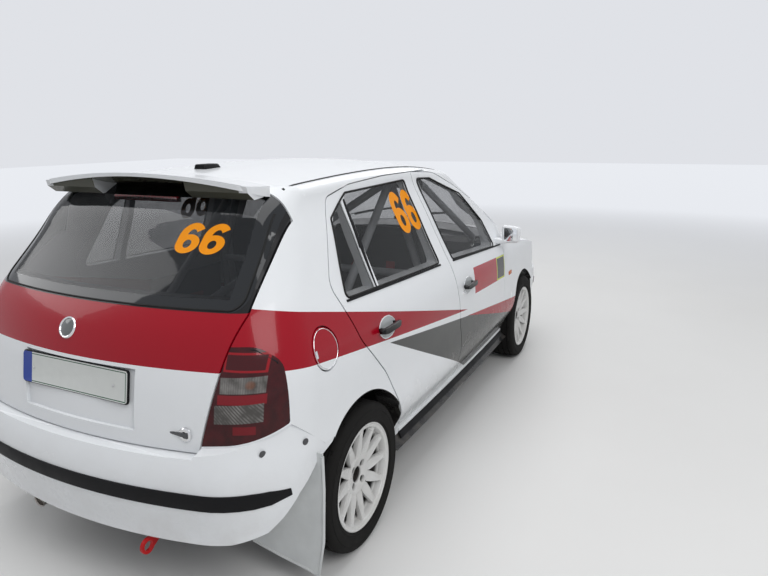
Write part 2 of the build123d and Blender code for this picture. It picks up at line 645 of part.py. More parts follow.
front_housing = housing(FRONT_AXLE_Y, FRONT_LINER_X, 370)
rear_housing = housing(REAR_AXLE_Y, REAR_LINER_X, BOOT_FLOOR_Z)
rear_housing = solid(rear_housing - box(-1000, -REAR_LINER_X, REAR_AXLE_Y + 200, 1800, 0, FLAP_ROOM_Z))
save("wheel_housings", Compound(children=[s for h in (front_housing, rear_housing) for s in (h, mirror(h, Plane.YZ))]))

# Bulkhead with the cowl under the windscreen
DASH_WALL_Y = -812
firewall = side_prism(
    [(DASH_WALL_Y, FLOOR_Z + FLOOR_T), (DASH_WALL_Y + PLATE_T, FLOOR_Z + FLOOR_T), (DASH_WALL_Y + PLATE_T, 872),
     (-930, 938), (-948, 922), (DASH_WALL_Y, 856)], -CROWN_HALF, CROWN_HALF)
firewall = (firewall & inner_plan) - bonnet_hole - fender - mirror(fender, Plane.YZ)
cowl_half = solid(cowl_half)
bulkhead = solid(firewall + cowl_half + mirror(cowl_half, Plane.YZ))
save("bulkhead", bulkhead)

# Dashboard and steering column
STEER_X = 360
STEER_HUB = (STEER_X, -395, 800)
STEER_TILT = 24
STEER_R = 172
steer_axis = Vector(0, cos(radians(STEER_TILT)), sin(radians(STEER_TILT)))
dash_points = [
    (DASH_WALL_Y + PLATE_T, 640), (DASH_WALL_Y + PLATE_T, 860), (-740, 932), (-560, 925), (-515, 880), (-545, 720), (-640, 640),
]
column_end = Vector(*STEER_HUB) - steer_axis * 30
column_start = Vector(*STEER_HUB) - steer_axis * 240
dashboard = (side_prism(dash_points, -CROWN_HALF, CROWN_HALF) & inner_plan) + tube(tuple(column_start), tuple(column_end), 30)
wheel_plane = Plane(origin=STEER_HUB, x_dir=(1, 0, 0), z_dir=steer_axis)
steering_wheel = Solid.make_torus(STEER_R, 15, wheel_plane)
steering_wheel = steering_wheel + extrude(wheel_plane.offset(-20) * Circle(34), 40)
for turn in (0, 180, 270):
    arm_shape = extrude(wheel_plane.offset(-6) * Rot(0, 0, turn) * Pos(STEER_R / 2, 0) * Rectangle(STEER_R, 32), 12)
    steering_wheel = steering_wheel + arm_shape
save("steering_wheel", solid(steering_wheel))

# Bucket seats
SEAT_X = 355
SEAT_W = 500
SEAT_BOLSTER = 48
seat_side = [(-250, 262), (-270, 470), (120, 520), (170, 760), (215, 1060), (262, 1120), (300, 1110), (285, 900), (215, 262)]
seat_hollow = [(-300, 400), (-300, 600), (-250, 1200), (205, 1200), (190, 1080), (60, 430)]
seat = side_prism(seat_side, SEAT_X - SEAT_W / 2, SEAT_X + SEAT_W / 2)
seat = seat - side_prism(seat_hollow, SEAT_X - SEAT_W / 2 + SEAT_BOLSTER, SEAT_X + SEAT_W / 2 - SEAT_BOLSTER)
seat = solid(seat)
save("seats", pair(seat))

# Roll cage: main hoop, screen legs, roof rails, back stays and diagonals, right half
CAGE_R = 20
HOOP_Y = 330
HOOP_FOOT = (-600, HOOP_Y - 20, FLOOR_Z + FLOOR_T)
HOOP_TOP = (-470, HOOP_Y, 1378)
SCREEN_TOP = (-455, -130, 1318)
SCREEN_KNEE = (-590, -640, 955)
SCREEN_FOOT_LEG = (-640, -740, FLOOR_Z + FLOOR_T)
STAY_FOOT = (-500, 1180, 600)
STAY_TOWER = (-500, 1180, BOOT_FLOOR_Z + FLOOR_T)
cage_runs = [
    (HOOP_FOOT, (-640, HOOP_Y, 900)), ((-640, HOOP_Y, 900), HOOP_TOP), (HOOP_TOP, (0, HOOP_Y, 1395)),
    (HOOP_TOP, SCREEN_TOP), (SCREEN_TOP, SCREEN_KNEE), (SCREEN_KNEE, SCREEN_FOOT_LEG),
    (SCREEN_TOP, (0, -150, 1340)), (HOOP_TOP, STAY_FOOT), (STAY_FOOT, STAY_TOWER),
    ((-640, HOOP_Y, 900), (0, HOOP_Y, 900)),
]
cage = Solid.make_sphere(CAGE_R, Plane(origin=HOOP_TOP))
for start, end in cage_runs:
    cage = cage + tube(start, end, CAGE_R) + Solid.make_sphere(CAGE_R, Plane(origin=end))
cage = cage & box(-800, 0, -2000, 2000, FLOOR_Z + FLOOR_T, 1600)
cage = cage - box(-800, 0, 1000, 2000, FLOOR_Z, BOOT_FLOOR_Z + FLOOR_T)
leg_room = tube(SCREEN_KNEE, SCREEN_FOOT_LEG, CAGE_R + 2) + tube(SCREEN_TOP, SCREEN_KNEE, CAGE_R + 2)
leg_room = leg_room + Solid.make_sphere(CAGE_R + 2, Plane(origin=SCREEN_KNEE))
dashboard = dashboard - leg_room - mirror(leg_room, Plane.YZ) - bulkhead - fender - mirror(fender, Plane.YZ)
save("dashboard", solid(dashboard))
cage = solid(cage)
full_cage = cage + mirror(cage, Plane.YZ)
full_cage = full_cage + tube(HOOP_TOP, (500, 1180, 600), CAGE_R - 1)
save("roll_cage", solid(full_cage))

# Grille bars and the dark backing behind them and behind the lower intake
grille = box(-GRILLE_HALF + 2, GRILLE_HALF - 2, -1860, -1750, GRILLE_Z[0] + 2, GRILLE_Z[1] - 2)
grille = grille & plan_loft(BODY, 8)
slot_h, bar_h, first = 16, 8, GRILLE_Z[0] + 14
z = first
while z + slot_h < GRILLE_Z[1] - 8:
    grille = grille - box(-GRILLE_HALF + 16, GRILLE_HALF - 16, -2000, -1790, z, z + slot_h)
    z += slot_h + bar_h
save("grille", solid(grille))

# Radiator in front of the engine, with the bumper beam that carries it
BEAM_HALF = 520
BEAM_Y = (-1800, -1750)
BEAM_Z = (430, 500)
RADIATOR = (-300, 300, -1690, -1650, 290, 690)
radiator = box(*RADIATOR) + box(-BEAM_HALF, BEAM_HALF, *BEAM_Y, *BEAM_Z)
for x in (-270, 250):
    radiator = radiator + box(x, x + 20, BEAM_Y[1] - 1, RADIATOR[2] + 1, *BEAM_Z)
save("radiator", solid(radiator))

# Towing eyes: the front one on the beam, through the lower intake, the rear one on the rear panel
TOW_X = -300
TOW_T = 12
TOW_R = 28
TOW_HOLE_R = 18
TOW_FRONT = (-1950, 370)
TOW_REAR = (1922, 248)
TOW_ARM_H = 30
TOW_ARM_LOW = 270
TOW_ARM_BEND_Y = 1856


def tow_eye(centre, arm_points):
    y, z = centre
    plate = side_prism(arm_points, TOW_X - TOW_T / 2, TOW_X + TOW_T / 2)
    plate = plate + tube((TOW_X - TOW_T / 2, y, z), (TOW_X + TOW_T / 2, y, z), TOW_R)
    return solid(plate - tube((TOW_X - TOW_T, y, z), (TOW_X + TOW_T, y, z), TOW_HOLE_R))


front_eye = tow_eye(TOW_FRONT, [
    (TOW_FRONT[0], TOW_FRONT[1] - TOW_R), (TOW_FRONT[0], TOW_FRONT[1] + TOW_R),
    (BEAM_Y[0], BEAM_Z[0] + TOW_ARM_H), (BEAM_Y[0], BEAM_Z[0])])
rear_eye = tow_eye(TOW_REAR, [
    (TOW_REAR[0], TOW_REAR[1] - TOW_R), (TOW_REAR[0], TOW_REAR[1] + TOW_R),
    (TOW_ARM_BEND_Y, TOW_REAR[1] + TOW_R), (REAR_PANEL_Y + FLOOR_T, TOW_ARM_LOW + 2 * TOW_ARM_H),
    (REAR_PANEL_Y + FLOOR_T, TOW_ARM_LOW)])
save("towing_eyes", Compound(children=[front_eye, rear_eye]))

# Exhaust: a straight pipe, a bend, the silencer box and the tail pipe
EXHAUST_R = 22
EXHAUST_START = (180, -985, 206)
EXHAUST_BEND = (180, 900, 206)
SILENCER = (120, 420, 1430, 1700, 205, 325)
SILENCER_INLET = (250, 1440, 230)
TAIL_PIPE = ((330, 1690, 240), (330, 1860, 222))
pipe = tube(EXHAUST_START, EXHAUST_BEND, EXHAUST_R) + Solid.make_sphere(EXHAUST_R, Plane(origin=EXHAUST_BEND))
pipe = pipe + tube(EXHAUST_BEND, SILENCER_INLET, EXHAUST_R) + box(*SILENCER) + tube(*TAIL_PIPE, EXHAUST_R)
save("exhaust", solid(pipe))

# Mud flaps behind the rear wheels, held by the bumper's inner wall
FLAP_Y = REAR_AXLE_Y + 324
FLAP_T = 6
FLAP_OUTLINE = [(500, 130), (745, 80), (786, 66), (812, 213), (822, 420), (822, 560), (500, 560)]
flap = end_prism([(-x, z) for x, z in FLAP_OUTLINE], FLAP_Y, FLAP_Y + FLAP_T)
flap = flap - rear_bumper - side_frame - rear_housing - floor_pan
save("mud_flaps", pair(solid(flap)))

# Sump guard
guard = side_prism([(-1700, 240), (-1560, 150), (-960, 150), (-960, 142), (-1563, 142), (-1705, 234)], -330, 330)
save("sump_guard", solid(guard))

# Door mirrors
MIRROR_Y = -560
MIRROR_ROUND = 30
shell_mirror = fillet(box(-930, -812, MIRROR_Y - 60, MIRROR_Y + 30, 930, 1054).edges(), MIRROR_ROUND)
arm_mirror = box(-830, -760, MIRROR_Y - 25, MIRROR_Y + 15, 940, 972)
mirror_right = solid(shell_mirror + arm_mirror)
mirror_right = solid(mirror_right - plan_loft(BODY, 0))
for hand, shape in zip(("right", "left"), both(mirror_right)):
    save(f"mirror_{hand}", shape)

# Spoiler over the tailgate, its top carrying on the roof's crown
SPOILER_TOP = [(1300, 1470), (1398, 1470), (1480, 1474), (1560, 1480), (1700, 1490)]
SPOILER_FOOT_X = (230, 506)
SPOILER_BASE = [(1300, 1430), (1398, 1432), (1480, 1445), (1560, 1466), (1700, 1480)]
wing = under_crown(SPOILER_TOP, ROOF_CROWN_R, 0) - under_crown(SPOILER_BASE, ROOF_CROWN_R, 0)
wing_plan = face([(-512, 1398, 10), (-506, 1530, 45), (0, 1572, 2000), (506, 1530, 45), (512, 1398, 10)])
wing = wing & extrude(Plane.XY.offset(1300) * wing_plan, 300)
foot_side = [(1398, 1470), (1398, 1425), (1440, 1397), (1490, 1392), (1524, 1418), (1536, 1470)]
foot = side_prism(foot_side, -SPOILER_FOOT_X[1], -SPOILER_FOOT_X[0])
foot = foot & under_crown(SPOILER_TOP, ROOF_CROWN_R, 2)
wing = wing + foot + mirror(foot, Plane.YZ)
wing = solid(wing - plan_loft(BODY, 0))
save("spoiler", wing)
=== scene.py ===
from math import atan2, ceil, cos, hypot, pi, radians, sin, tan

import bmesh
import bpy
from mathutils import Matrix, Vector


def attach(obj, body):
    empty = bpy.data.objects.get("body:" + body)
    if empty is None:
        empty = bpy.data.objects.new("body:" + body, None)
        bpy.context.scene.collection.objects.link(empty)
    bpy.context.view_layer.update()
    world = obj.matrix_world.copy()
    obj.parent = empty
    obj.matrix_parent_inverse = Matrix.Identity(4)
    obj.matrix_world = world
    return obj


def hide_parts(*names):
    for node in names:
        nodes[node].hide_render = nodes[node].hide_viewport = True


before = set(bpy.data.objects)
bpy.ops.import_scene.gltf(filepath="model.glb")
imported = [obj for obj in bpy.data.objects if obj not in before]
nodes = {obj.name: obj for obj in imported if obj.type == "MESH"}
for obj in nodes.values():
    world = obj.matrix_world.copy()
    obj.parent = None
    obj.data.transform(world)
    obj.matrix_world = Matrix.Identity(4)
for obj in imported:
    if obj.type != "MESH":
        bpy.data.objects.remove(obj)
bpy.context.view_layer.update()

# The car's nose points to -Y and its right side to -X. Everything is in metres.
CAMERA_AT = (-1.876, 3.2646, 1.6167)
CAMERA_YAW = radians(153.763)
CAMERA_PITCH = radians(-13.849)
CAMERA_ROLL = radians(-0.602)
FOCAL_PIXELS = 634.1
PICTURE_WIDTH = 768
SENSOR = 36

# Paints
WHITE = (0.8, 0.82, 0.84)
RED = (0.33, 0.002, 0.012)
GREY = (0.06, 0.062, 0.06)

# Stripe edges on the sides: y and height of a point, and the slope of the line through it
RED_TIP = (0.095, 0.677)
RED_TOP_SLOPE = 0.244
RED_LOW_SLOPE = 0.123
LOWER_TIP = (0.097, 0.643)
LOWER_TOP_SLOPE = 0.128
LOWER_LOW_SLOPE = 0.235
GREY_TIP = (1.043, 0.778)
GREY_TOP_SLOPE = 0.1449
GREY_LOW_SLOPE = 0.442
STRIPE_FRONT_Y = -1.44
TAIL_BAND_Z = 0.878
TAIL_BLACK_Z = 1.052
# The front door's plain panel: y range, height range at y = 0, slope, end box and rim
PANEL_Y = (-0.657, -0.036)
PANEL_Z = (0.736, 0.882)
PANEL_SLOPE = 0.052
PANEL_BOX_Y = -0.48
PANEL_RIM = 0.01
PANEL_RED = (0.38, 0.004, 0.014)
PANEL_YELLOW = (0.55, 0.62, 0.04)
# Black of the door panel's end box and the tailgate top, also used as painted shade in the arches, under the
# sills and deep in the rims
LIVERY_AND_SHADE_BLACK = (0.012, 0.012, 0.013)
# Height below which the sides are painted black as shade under the sill
SILL_SHADE_Z = 0.282
# Radius round each hub inside which the sides and bumpers are painted black as shade in the wheel arch
ARCH_SHADE_R = 0.3475
# Painted shade, dark olive, on the faces under the spoiler's blade
BLADE_UNDER_SHADE = (0.085, 0.085, 0.065)
WHEEL_WHITE = (0.66, 0.66, 0.65)
DUST = (0.3, 0.27, 0.23)
# The rear screen: height of its foot, half width there, lean of its sides, width of its black border
SCREEN_FOOT = 1.054
SCREEN_HALF = 0.604
SCREEN_LEAN = -0.103
SCREEN_BORDER = 0.062
PLATE_SIZE = (0.52, 0.11)
PLATE_MIDDLE = (0.0145, 0.802)
# The plate's green line: half width and half height of its inner and its outer edge; start of the blue strip
PLATE_LINE = ((0.252, 0.0475), (0.2555, 0.0508))
PLATE_STRIP_X = 0.214
# Tail lamp fields: low and high height, inner and outer distance from the middle at their foot, and slope
LAMP_FIELDS = {
    "top": (0.888, 0.941, 0.588, 0.704, -0.05),
    "upper": (0.815, 0.866, 0.578, 0.708, 0.02),
    "bar": (0.78, 0.811, 0.572, 0.712, 0.02),
    "lower": (0.716, 0.776, 0.563, 0.706, 0.06),
    "low": (0.684, 0.711, 0.624, 0.688, 0.0),
}
BULB_AT = (0.668, 0.843)

HANDS = ("right", "left")
ENDS = ("front", "rear")
AXLE_Y = {"front": -1.18, "rear": 1.282}
WHEEL_X = 0.717
HUB_Z = 0.297
NEAR = 0.0004
AXES = {"x": (1, 0, 0), "y": (0, 1, 0), "z": (0, 0, 1)}
MIRROR = Matrix.Scale(-1, 4, AXES["x"])


def camera():
    ahead = Vector(
        (sin(CAMERA_YAW) * cos(CAMERA_PITCH), cos(CAMERA_YAW) * cos(CAMERA_PITCH), sin(CAMERA_PITCH)))
    level = Vector((cos(CAMERA_YAW), -sin(CAMERA_YAW), 0))
    upright = level.cross(ahead)
    right = level * cos(CAMERA_ROLL) + upright * sin(CAMERA_ROLL)
    up = upright * cos(CAMERA_ROLL) - level * sin(CAMERA_ROLL)
    bpy.ops.object.camera_add()
    made = bpy.context.object
    turn = Matrix((right, up, -ahead)).transposed().to_4x4()
    made.matrix_world = Matrix.Translation(CAMERA_AT) @ turn
    made.data.sensor_width = SENSOR
    made.data.lens = FOCAL_PIXELS * SENSOR / PICTURE_WIDTH
    made.data.clip_end = 200
    bpy.context.scene.camera = made


class Graph:
    """Short calls that add and link the nodes of one material or shader group."""

    def __init__(self, tree):
        self.tree = tree

    def add(self, kind, **values):
        made = self.tree.nodes.new(kind)
        for key, value in values.items():
            setattr(made, key, value)
        return made

    def feed(self, socket, value):
        if isinstance(value, bpy.types.NodeSocket):
            self.tree.links.new(value, socket)
        elif isinstance(value, tuple) and len(value) == 3 and socket.type == "RGBA":
            socket.default_value = (*value, 1)
        else:
            socket.default_value = value

    def shade(self, name, value):
        self.feed(self.shader.inputs[name], value)

    def math(self, operation, a, b=0.0, c=0.0):
        made = self.add("ShaderNodeMath", operation=operation)
        for socket, value in zip(made.inputs, (a, b, c)):
            self.feed(socket, value)
        return made.outputs[0]

    def times(self, a, b):
        return self.math("MULTIPLY", a, b)

    def plus(self, a, b):
        return self.math("ADD", a, b)

    def minus(self, a, b):
        return self.math("SUBTRACT", a, b)

    def over(self, value, edge):
        return self.math("GREATER_THAN", value, edge)

    def under(self, value, edge):
        return self.math("LESS_THAN", value, edge)

    def larger(self, a, b):
        return self.math("MAXIMUM", a, b)

    def between(self, value, low, high, to_low=0.0, to_high=1.0):
        made = self.add("ShaderNodeMapRange")
        for socket, given in zip(made.inputs, (value, low, high, to_low, to_high)):
            self.feed(socket, given)
        return made.outputs[0]

    def mix(self, factor, a, b, blend="MIX"):
        made = self.add("ShaderNodeMix", data_type="RGBA", blend_type=blend)
        for place, value in ((0, factor), (6, a), (7, b)):
            self.feed(made.inputs[place], value)
        return made.outputs[2]

    def noise(self, scale, detail=3.0, roughness=0.5):
        made = self.add("ShaderNodeTexNoise")
        for name, value in (("Scale", scale), ("Detail", detail), ("Roughness", roughness)):
            self.feed(made.inputs[name], value)
        self.feed(made.inputs["Vector"], self.add("ShaderNodeTexCoord").outputs["Object"])
        return made.outputs["Fac"]

    def place(self):
        split = self.add("ShaderNodeSeparateXYZ")
        self.tree.links.new(self.add("ShaderNodeTexCoord").outputs["Object"], split.inputs[0])
        return split.outputs[0], split.outputs[1], split.outputs[2]

    def bump(self, height, strength, distance):
        made = self.add("ShaderNodeBump")
        for name, value in (("Height", height), ("Strength", strength), ("Distance", distance)):
            self.feed(made.inputs[name], value)
        return made.outputs[0]


def material(name, **shader_values):
    """A new material with one Principled shader, and its graph."""
    made = bpy.data.materials.new(name)
    made.use_nodes = True
    graph = Graph(made.node_tree)
    graph.shader = made.node_tree.nodes["Principled BSDF"]
    for key, value in shader_values.items():
        graph.shade(key.replace("_", " "), value)
    return made, graph


def group(name, inputs, outputs):
    """A shader group with named sockets: its graph, its inputs by name, and its output node."""
    tree = bpy.data.node_groups.new(name, "ShaderNodeTree")
    for title, kind, value in inputs:
        socket = tree.interface.new_socket(title, in_out="INPUT", socket_type=kind)
        socket.default_value = value
    for title, kind in outputs:
        tree.interface.new_socket(title, in_out="OUTPUT", socket_type=kind)
    graph = Graph(tree)
    given = graph.add("NodeGroupInput")
    graph.out = graph.add("NodeGroupOutput")
    return graph, given.outputs


def use(graph, tree, **values):
    made = graph.add("ShaderNodeGroup", node_tree=tree)
    for key, value in values.items():
        graph.feed(made.inputs[key], value)
    return made.outputs


def road_film_group():
    """Road dust: more of it low on the car, broken up by noise."""
    graph, given = group(
        "road_film",
        [("Top", "NodeSocketFloat", 0.6), ("Amount", "NodeSocketFloat", 0.3)],
        [("Mask", "NodeSocketFloat"), ("Cloud", "NodeSocketFloat")],
    )
    height = graph.place()[2]
    low = graph.between(height, given["Top"], 0.1)
    cloud = graph.noise(9.0, 6.0, 0.62)
    speck = graph.between(cloud, 0.38, 0.68)
    mask = graph.times(graph.times(low, speck), given["Amount"])
    graph.feed(graph.out.inputs["Mask"], mask)
    graph.feed(graph.out.inputs["Cloud"], cloud)
    return graph.tree


def stripes_group():
    """Where the red and the grey wedges lie on the car's sides, from y and height."""
    graph, _ = group("side_stripes", [], [("Red", "NodeSocketFloat"), ("Grey", "NodeSocketFloat")])
    _, y, z = graph.place()

    def line(tip, slope):
        return graph.math("MULTIPLY_ADD", graph.minus(y, tip[0]), slope, tip[1])

    def both(*masks):
        result = masks[0]
        for mask in masks[1:]:
            result = graph.times(result, mask)
        return result

    behind_tip = graph.over(y, RED_TIP[0])
    before_tip = graph.under(y, LOWER_TIP[0])
    still_side = graph.over(y, STRIPE_FRONT_Y)
    red_rear = both(behind_tip, graph.under(z, line(RED_TIP, RED_TOP_SLOPE)),
                    graph.over(z, line(RED_TIP, RED_LOW_SLOPE)))
    lower_edge = line(LOWER_TIP, LOWER_LOW_SLOPE)
    red_front = both(before_tip, still_side, graph.under(z, line(LOWER_TIP, LOWER_TOP_SLOPE)),
                     graph.over(z, lower_edge))
    grey_top = line(GREY_TIP, GREY_TOP_SLOPE)
    grey_rear = both(graph.over(y, LOWER_TIP[0]), graph.under(z, grey_top))
    grey_front = both(before_tip, still_side, graph.under(z, lower_edge))
    grey = both(graph.over(z, line(GREY_TIP, GREY_LOW_SLOPE)), graph.larger(grey_rear, grey_front))
    graph.feed(graph.out.inputs["Red"], graph.larger(red_rear, red_front))
    graph.feed(graph.out.inputs["Grey"], grey)
    return graph.tree


ROAD_FILM = road_film_group()
STRIPES = stripes_group()


def gloss_paint(name, colour_of):
    """Lacquered car paint: a colour, a little road film low down and a faint orange peel."""
    made, graph = material(name, IOR=1.5, Coat_Weight=0.3, Coat_Roughness=0.03, Specular_IOR_Level=0.12)
    film = use(graph, ROAD_FILM, Top=0.7, Amount=0.26)
    colour = colour_of(graph) if callable(colour_of) else colour_of
    tone = graph.between(film["Cloud"], 0.3, 0.7, 0.96, 1.0)
    shade = graph.mix(tone, (0.6, 0.6, 0.6), (1, 1, 1))
    tinted = graph.mix(1.0, colour, shade, "MULTIPLY")
    graph.shade("Base Color", graph.mix(film["Mask"], tinted, DUST))
    graph.shade("Roughness", graph.between(film["Mask"], 0, 0.3, 0.22, 0.55))
    peel = graph.noise(260, 1.0)
    graph.shade("Normal", graph.bump(peel, 0.06, 0.0006))
    return made


def side_colour(graph):
    masks = use(graph, STRIPES)
    painted = graph.mix(masks["Grey"], graph.mix(masks["Red"], WHITE, RED), GREY)
    _, y, z = graph.place()

    def within(value, low, high):
        return graph.times(graph.over(value, low), graph.under(value, high))

    level = graph.minus(z, graph.times(y, PANEL_SLOPE))
    panel = graph.times(within(y, *PANEL_Y), within(level, *PANEL_Z))
    box_edge = graph.times(within(y, PANEL_Y[0], PANEL_BOX_Y), within(level, *PANEL_Z))
    box = graph.times(within(y, PANEL_Y[0] + PANEL_RIM, PANEL_BOX_Y - PANEL_RIM),
                     within(level, PANEL_Z[0] + PANEL_RIM, PANEL_Z[1] - PANEL_RIM))
    painted = graph.mix(panel, painted, PANEL_RED)
    painted = graph.mix(box_edge, painted, PANEL_YELLOW)
    painted = graph.mix(box, painted, LIVERY_AND_SHADE_BLACK)
    # Painted shade: black below the sill and round each wheel arch
    dark = graph.larger(graph.under(z, SILL_SHADE_Z), arch_shade_mask(graph, y, z))
    return graph.mix(dark, painted, LIVERY_AND_SHADE_BLACK)


def arch_shade_mask(graph, y, z):
    """The cut edge of each wheel arch, painted black as shade inside the arch."""
    masks = []
    for end in ENDS:
        reach = graph.math("POWER", graph.minus(y, AXLE_Y[end]), 2.0)
        reach = graph.plus(reach, graph.math("POWER", graph.minus(z, HUB_Z), 2.0))
        masks.append(graph.under(reach, ARCH_SHADE_R ** 2))
    return graph.larger(*masks)


def bumper_colour(graph):
    _, y, z = graph.place()
    # Painted shade: black round each wheel arch
    return graph.mix(arch_shade_mask(graph, y, z), WHITE, LIVERY_AND_SHADE_BLACK)


def spoiler_colour(graph):
    """White above, and painted shade in dark olive under the blade, where its faces look down."""
    split = graph.add("ShaderNodeSeparateXYZ")
    graph.tree.links.new(graph.add("ShaderNodeNewGeometry").outputs["Normal"], split.inputs[0])
    # Painted shade on the faces that look down, reaching further up their slope in the middle of the blade
    inner = graph.under(graph.math("ABSOLUTE", graph.place()[0]), 0.47)
    below = graph.larger(graph.between(split.outputs[2], -0.3, -0.5),
                       graph.times(inner, graph.between(split.outputs[2], -0.1, -0.18)))
    return graph.mix(below, WHITE, BLADE_UNDER_SHADE)


def rim_colour(graph):
    """White spokes and lip; the barrel and the deep parts of hub and spokes are painted dark as shade."""
    depth = graph.math("ABSOLUTE", graph.place()[0])
    # Painted shade: the parts deeper than the spokes' outer faces go dark
    inside = graph.between(depth, WHEEL_X + 0.053, WHEEL_X + 0.045)
    return graph.mix(inside, WHEEL_WHITE, LIVERY_AND_SHADE_BLACK)


def tail_colour(graph):
    height = graph.place()[2]
    banded = graph.mix(graph.over(height, TAIL_BAND_Z), WHITE, RED)
    return graph.mix(graph.over(height, TAIL_BLACK_Z), banded, LIVERY_AND_SHADE_BLACK)


def plain(name, colour, roughness, metallic=0.0, grain=120.0, depth=0.0004, spread=0.12, **more):
    """A finish whose colour and roughness drift a little and whose surface has a fine grain."""
    more.setdefault("Specular_IOR_Level", 0.2)
    made, graph = material(name, **more)
    cloud = graph.noise(14, 4.0)
    dark = tuple(channel * (1 - spread) for channel in colour)
    light = tuple(min(1, channel * (1 + spread)) for channel in colour)
    graph.shade("Base Color", graph.mix(cloud, dark, light))
    graph.shade("Roughness", graph.between(cloud, 0.3, 0.7, roughness * 0.88, roughness * 1.12))
    graph.shade("Metallic", metallic)
    graph.shade("Normal", graph.bump(graph.noise(grain, 3.0), 0.3, depth))
    return made


def tinted_glass(name, colour, clear):
    """Car glass: mostly clear, a little dark, with dust that shows as a faint haze."""
    made, graph = material(name, Base_Color=colour, IOR=1.5, Specular_IOR_Level=0.6)
    haze = graph.noise(5, 5.0, 0.6)
    graph.shade("Roughness", graph.between(haze, 0.3, 0.7, 0.02, 0.05))
    graph.shade("Alpha", graph.between(haze, 0.35, 0.7, 1 - clear, 1 - clear + 0.03))
    return made


def rear_screen_look():
    """Dark glass with a printed black border, wide at the sides and foot."""
    made, graph = material(
        "rear_screen_glass", Base_Color=(0.006, 0.008, 0.01), IOR=1.5, Specular_IOR_Level=0.5)
    x, _, z = graph.place()
    half = graph.math("MULTIPLY_ADD", graph.minus(z, SCREEN_FOOT), SCREEN_LEAN, SCREEN_HALF - SCREEN_BORDER)
    sides = graph.between(graph.minus(graph.math("ABSOLUTE", x), half), -0.002, 0.002)
    foot_edge = SCREEN_FOOT + 0.6 * SCREEN_BORDER
    foot = graph.between(z, foot_edge, foot_edge - 0.004)
    border = graph.larger(sides, foot)
    haze = graph.noise(5, 5.0, 0.6)
    graph.shade("Roughness", graph.between(haze, 0.3, 0.7, 0.02, 0.05))
    clear = graph.between(haze, 0.35, 0.7, 0.5, 0.54)
    graph.shade("Alpha", graph.larger(border, clear))
    return made


paint_side = gloss_paint("livery_sides", side_colour)
paint_tail = gloss_paint("livery_tail", tail_colour)
paint_white = gloss_paint("white_lacquer", WHITE)
paint_bumper = gloss_paint("bumper_lacquer", bumper_colour)
paint_spoiler = gloss_paint("spoiler_lacquer", spoiler_colour)
glass_side = tinted_glass("side_glass", (0.01, 0.012, 0.012), 0.72)
glass_rear = rear_screen_look()
glass_front = tinted_glass("windscreen_glass", (0.02, 0.03, 0.028), 0.82)
plastic_black = plain("black_plastic", (0.008, 0.008, 0.009), 0.55, Specular_IOR_Level=0.12)
rubber_tyre = plain("tyre_rubber", (0.012, 0.0115, 0.011), 0.8, grain=300, spread=0.3, Specular_IOR_Level=0.1)
iron_cast = plain("cast_iron", (0.09, 0.085, 0.08), 0.62, metallic=0.7, grain=220)
steel_pipe = plain("exhaust_steel", (0.3, 0.28, 0.26), 0.38, metallic=1.0, grain=90)
aluminium = plain("sump_aluminium", (0.55, 0.55, 0.56), 0.42, metallic=1.0, grain=60)
cage_paint = plain("cage_paint", (0.44, 0.46, 0.48), 0.42, grain=400)
inner_paint = plain("inner_paint", (0.42, 0.43, 0.44), 0.5, grain=300)
wheel_paint = gloss_paint("wheel_lacquer", rim_colour)
lamp_clear = plain("lamp_clear", (0.55, 0.56, 0.57), 0.1, Coat_Weight=1.0)
flap_plastic = plain("flap_plastic", (0.6, 0.62, 0.62), 0.45)
seat_cloth = plain("seat_cloth", (0.02, 0.02, 0.025), 0.9, grain=900)

steel_dark = plain("dark_steel", (0.1, 0.1, 0.105), 0.4, metallic=0.9, grain=200)
steel_bright = plain("machined_steel", (0.52, 0.52, 0.53), 0.3, metallic=1.0, grain=160)
chrome = plain("chrome", (0.72, 0.72, 0.73), 0.12, metallic=1.0, grain=30, depth=0.0001, spread=0.04)
caliper_paint = plain("caliper_paint", (0.05, 0.05, 0.055), 0.45, grain=200)
rubber_seal = plain("seal_rubber", (0.012, 0.012, 0.012), 0.7, grain=400)
badge_grey = plain("badge_grey", (0.1, 0.11, 0.11), 0.2, grain=60, Coat_Weight=1.0)
foil_orange = plain("orange_foil", (0.88, 0.3, 0.002), 0.5, grain=60, spread=0.05, Specular_IOR_Level=0.2)
tow_red = plain("towing_eye_paint", (0.45, 0.01, 0.012), 0.35, grain=200)
bulb_orange = plain("orange_bulb", (0.5, 0.13, 0.03), 0.25, grain=40)


def plate_colour(graph):
    """White sheet with a dark green edge line and a blue strip at its end; no lettering."""
    x, _, z = graph.place()
    across = graph.math("ABSOLUTE", graph.minus(x, PLATE_MIDDLE[0]))
    up = graph.math("ABSOLUTE", graph.minus(z, PLATE_MIDDLE[1]))
    edge, rim = (graph.larger(graph.over(across, wide), graph.over(up, high)) for wide, high in PLATE_LINE)
    line = graph.times(edge, graph.minus(1.0, rim))
    strip = graph.over(x, PLATE_MIDDLE[0] + PLATE_STRIP_X)
    sheet = graph.mix(graph.noise(30, 4.0), (0.6, 0.62, 0.6), (0.68, 0.7, 0.68))
    return graph.mix(strip, graph.mix(line, sheet, (0.02, 0.09, 0.05)), (0.012, 0.045, 0.3))


def lens_look(name, dark, light, pitch):
    """A moulded lamp lens whose ribs show as fine upright stripes."""
    made, graph = material(name, Coat_Weight=1.0, Coat_Roughness=0.03, Roughness=0.18)
    x, _, z = graph.place()
    lean = graph.plus(graph.math("ABSOLUTE", x), graph.times(z, 0.45))
    wave = graph.math("SINE", graph.times(lean, 2 * pi / pitch))
    ribs = graph.between(wave, -1, 1)
    tone = graph.times(ribs, graph.between(graph.noise(22, 4.0), 0.3, 0.7, 0.45, 1.0))
    graph.shade("Base Color", graph.mix(tone, dark, light))
    graph.shade("Normal", graph.bump(ribs, 0.5, 0.0015))
    return made


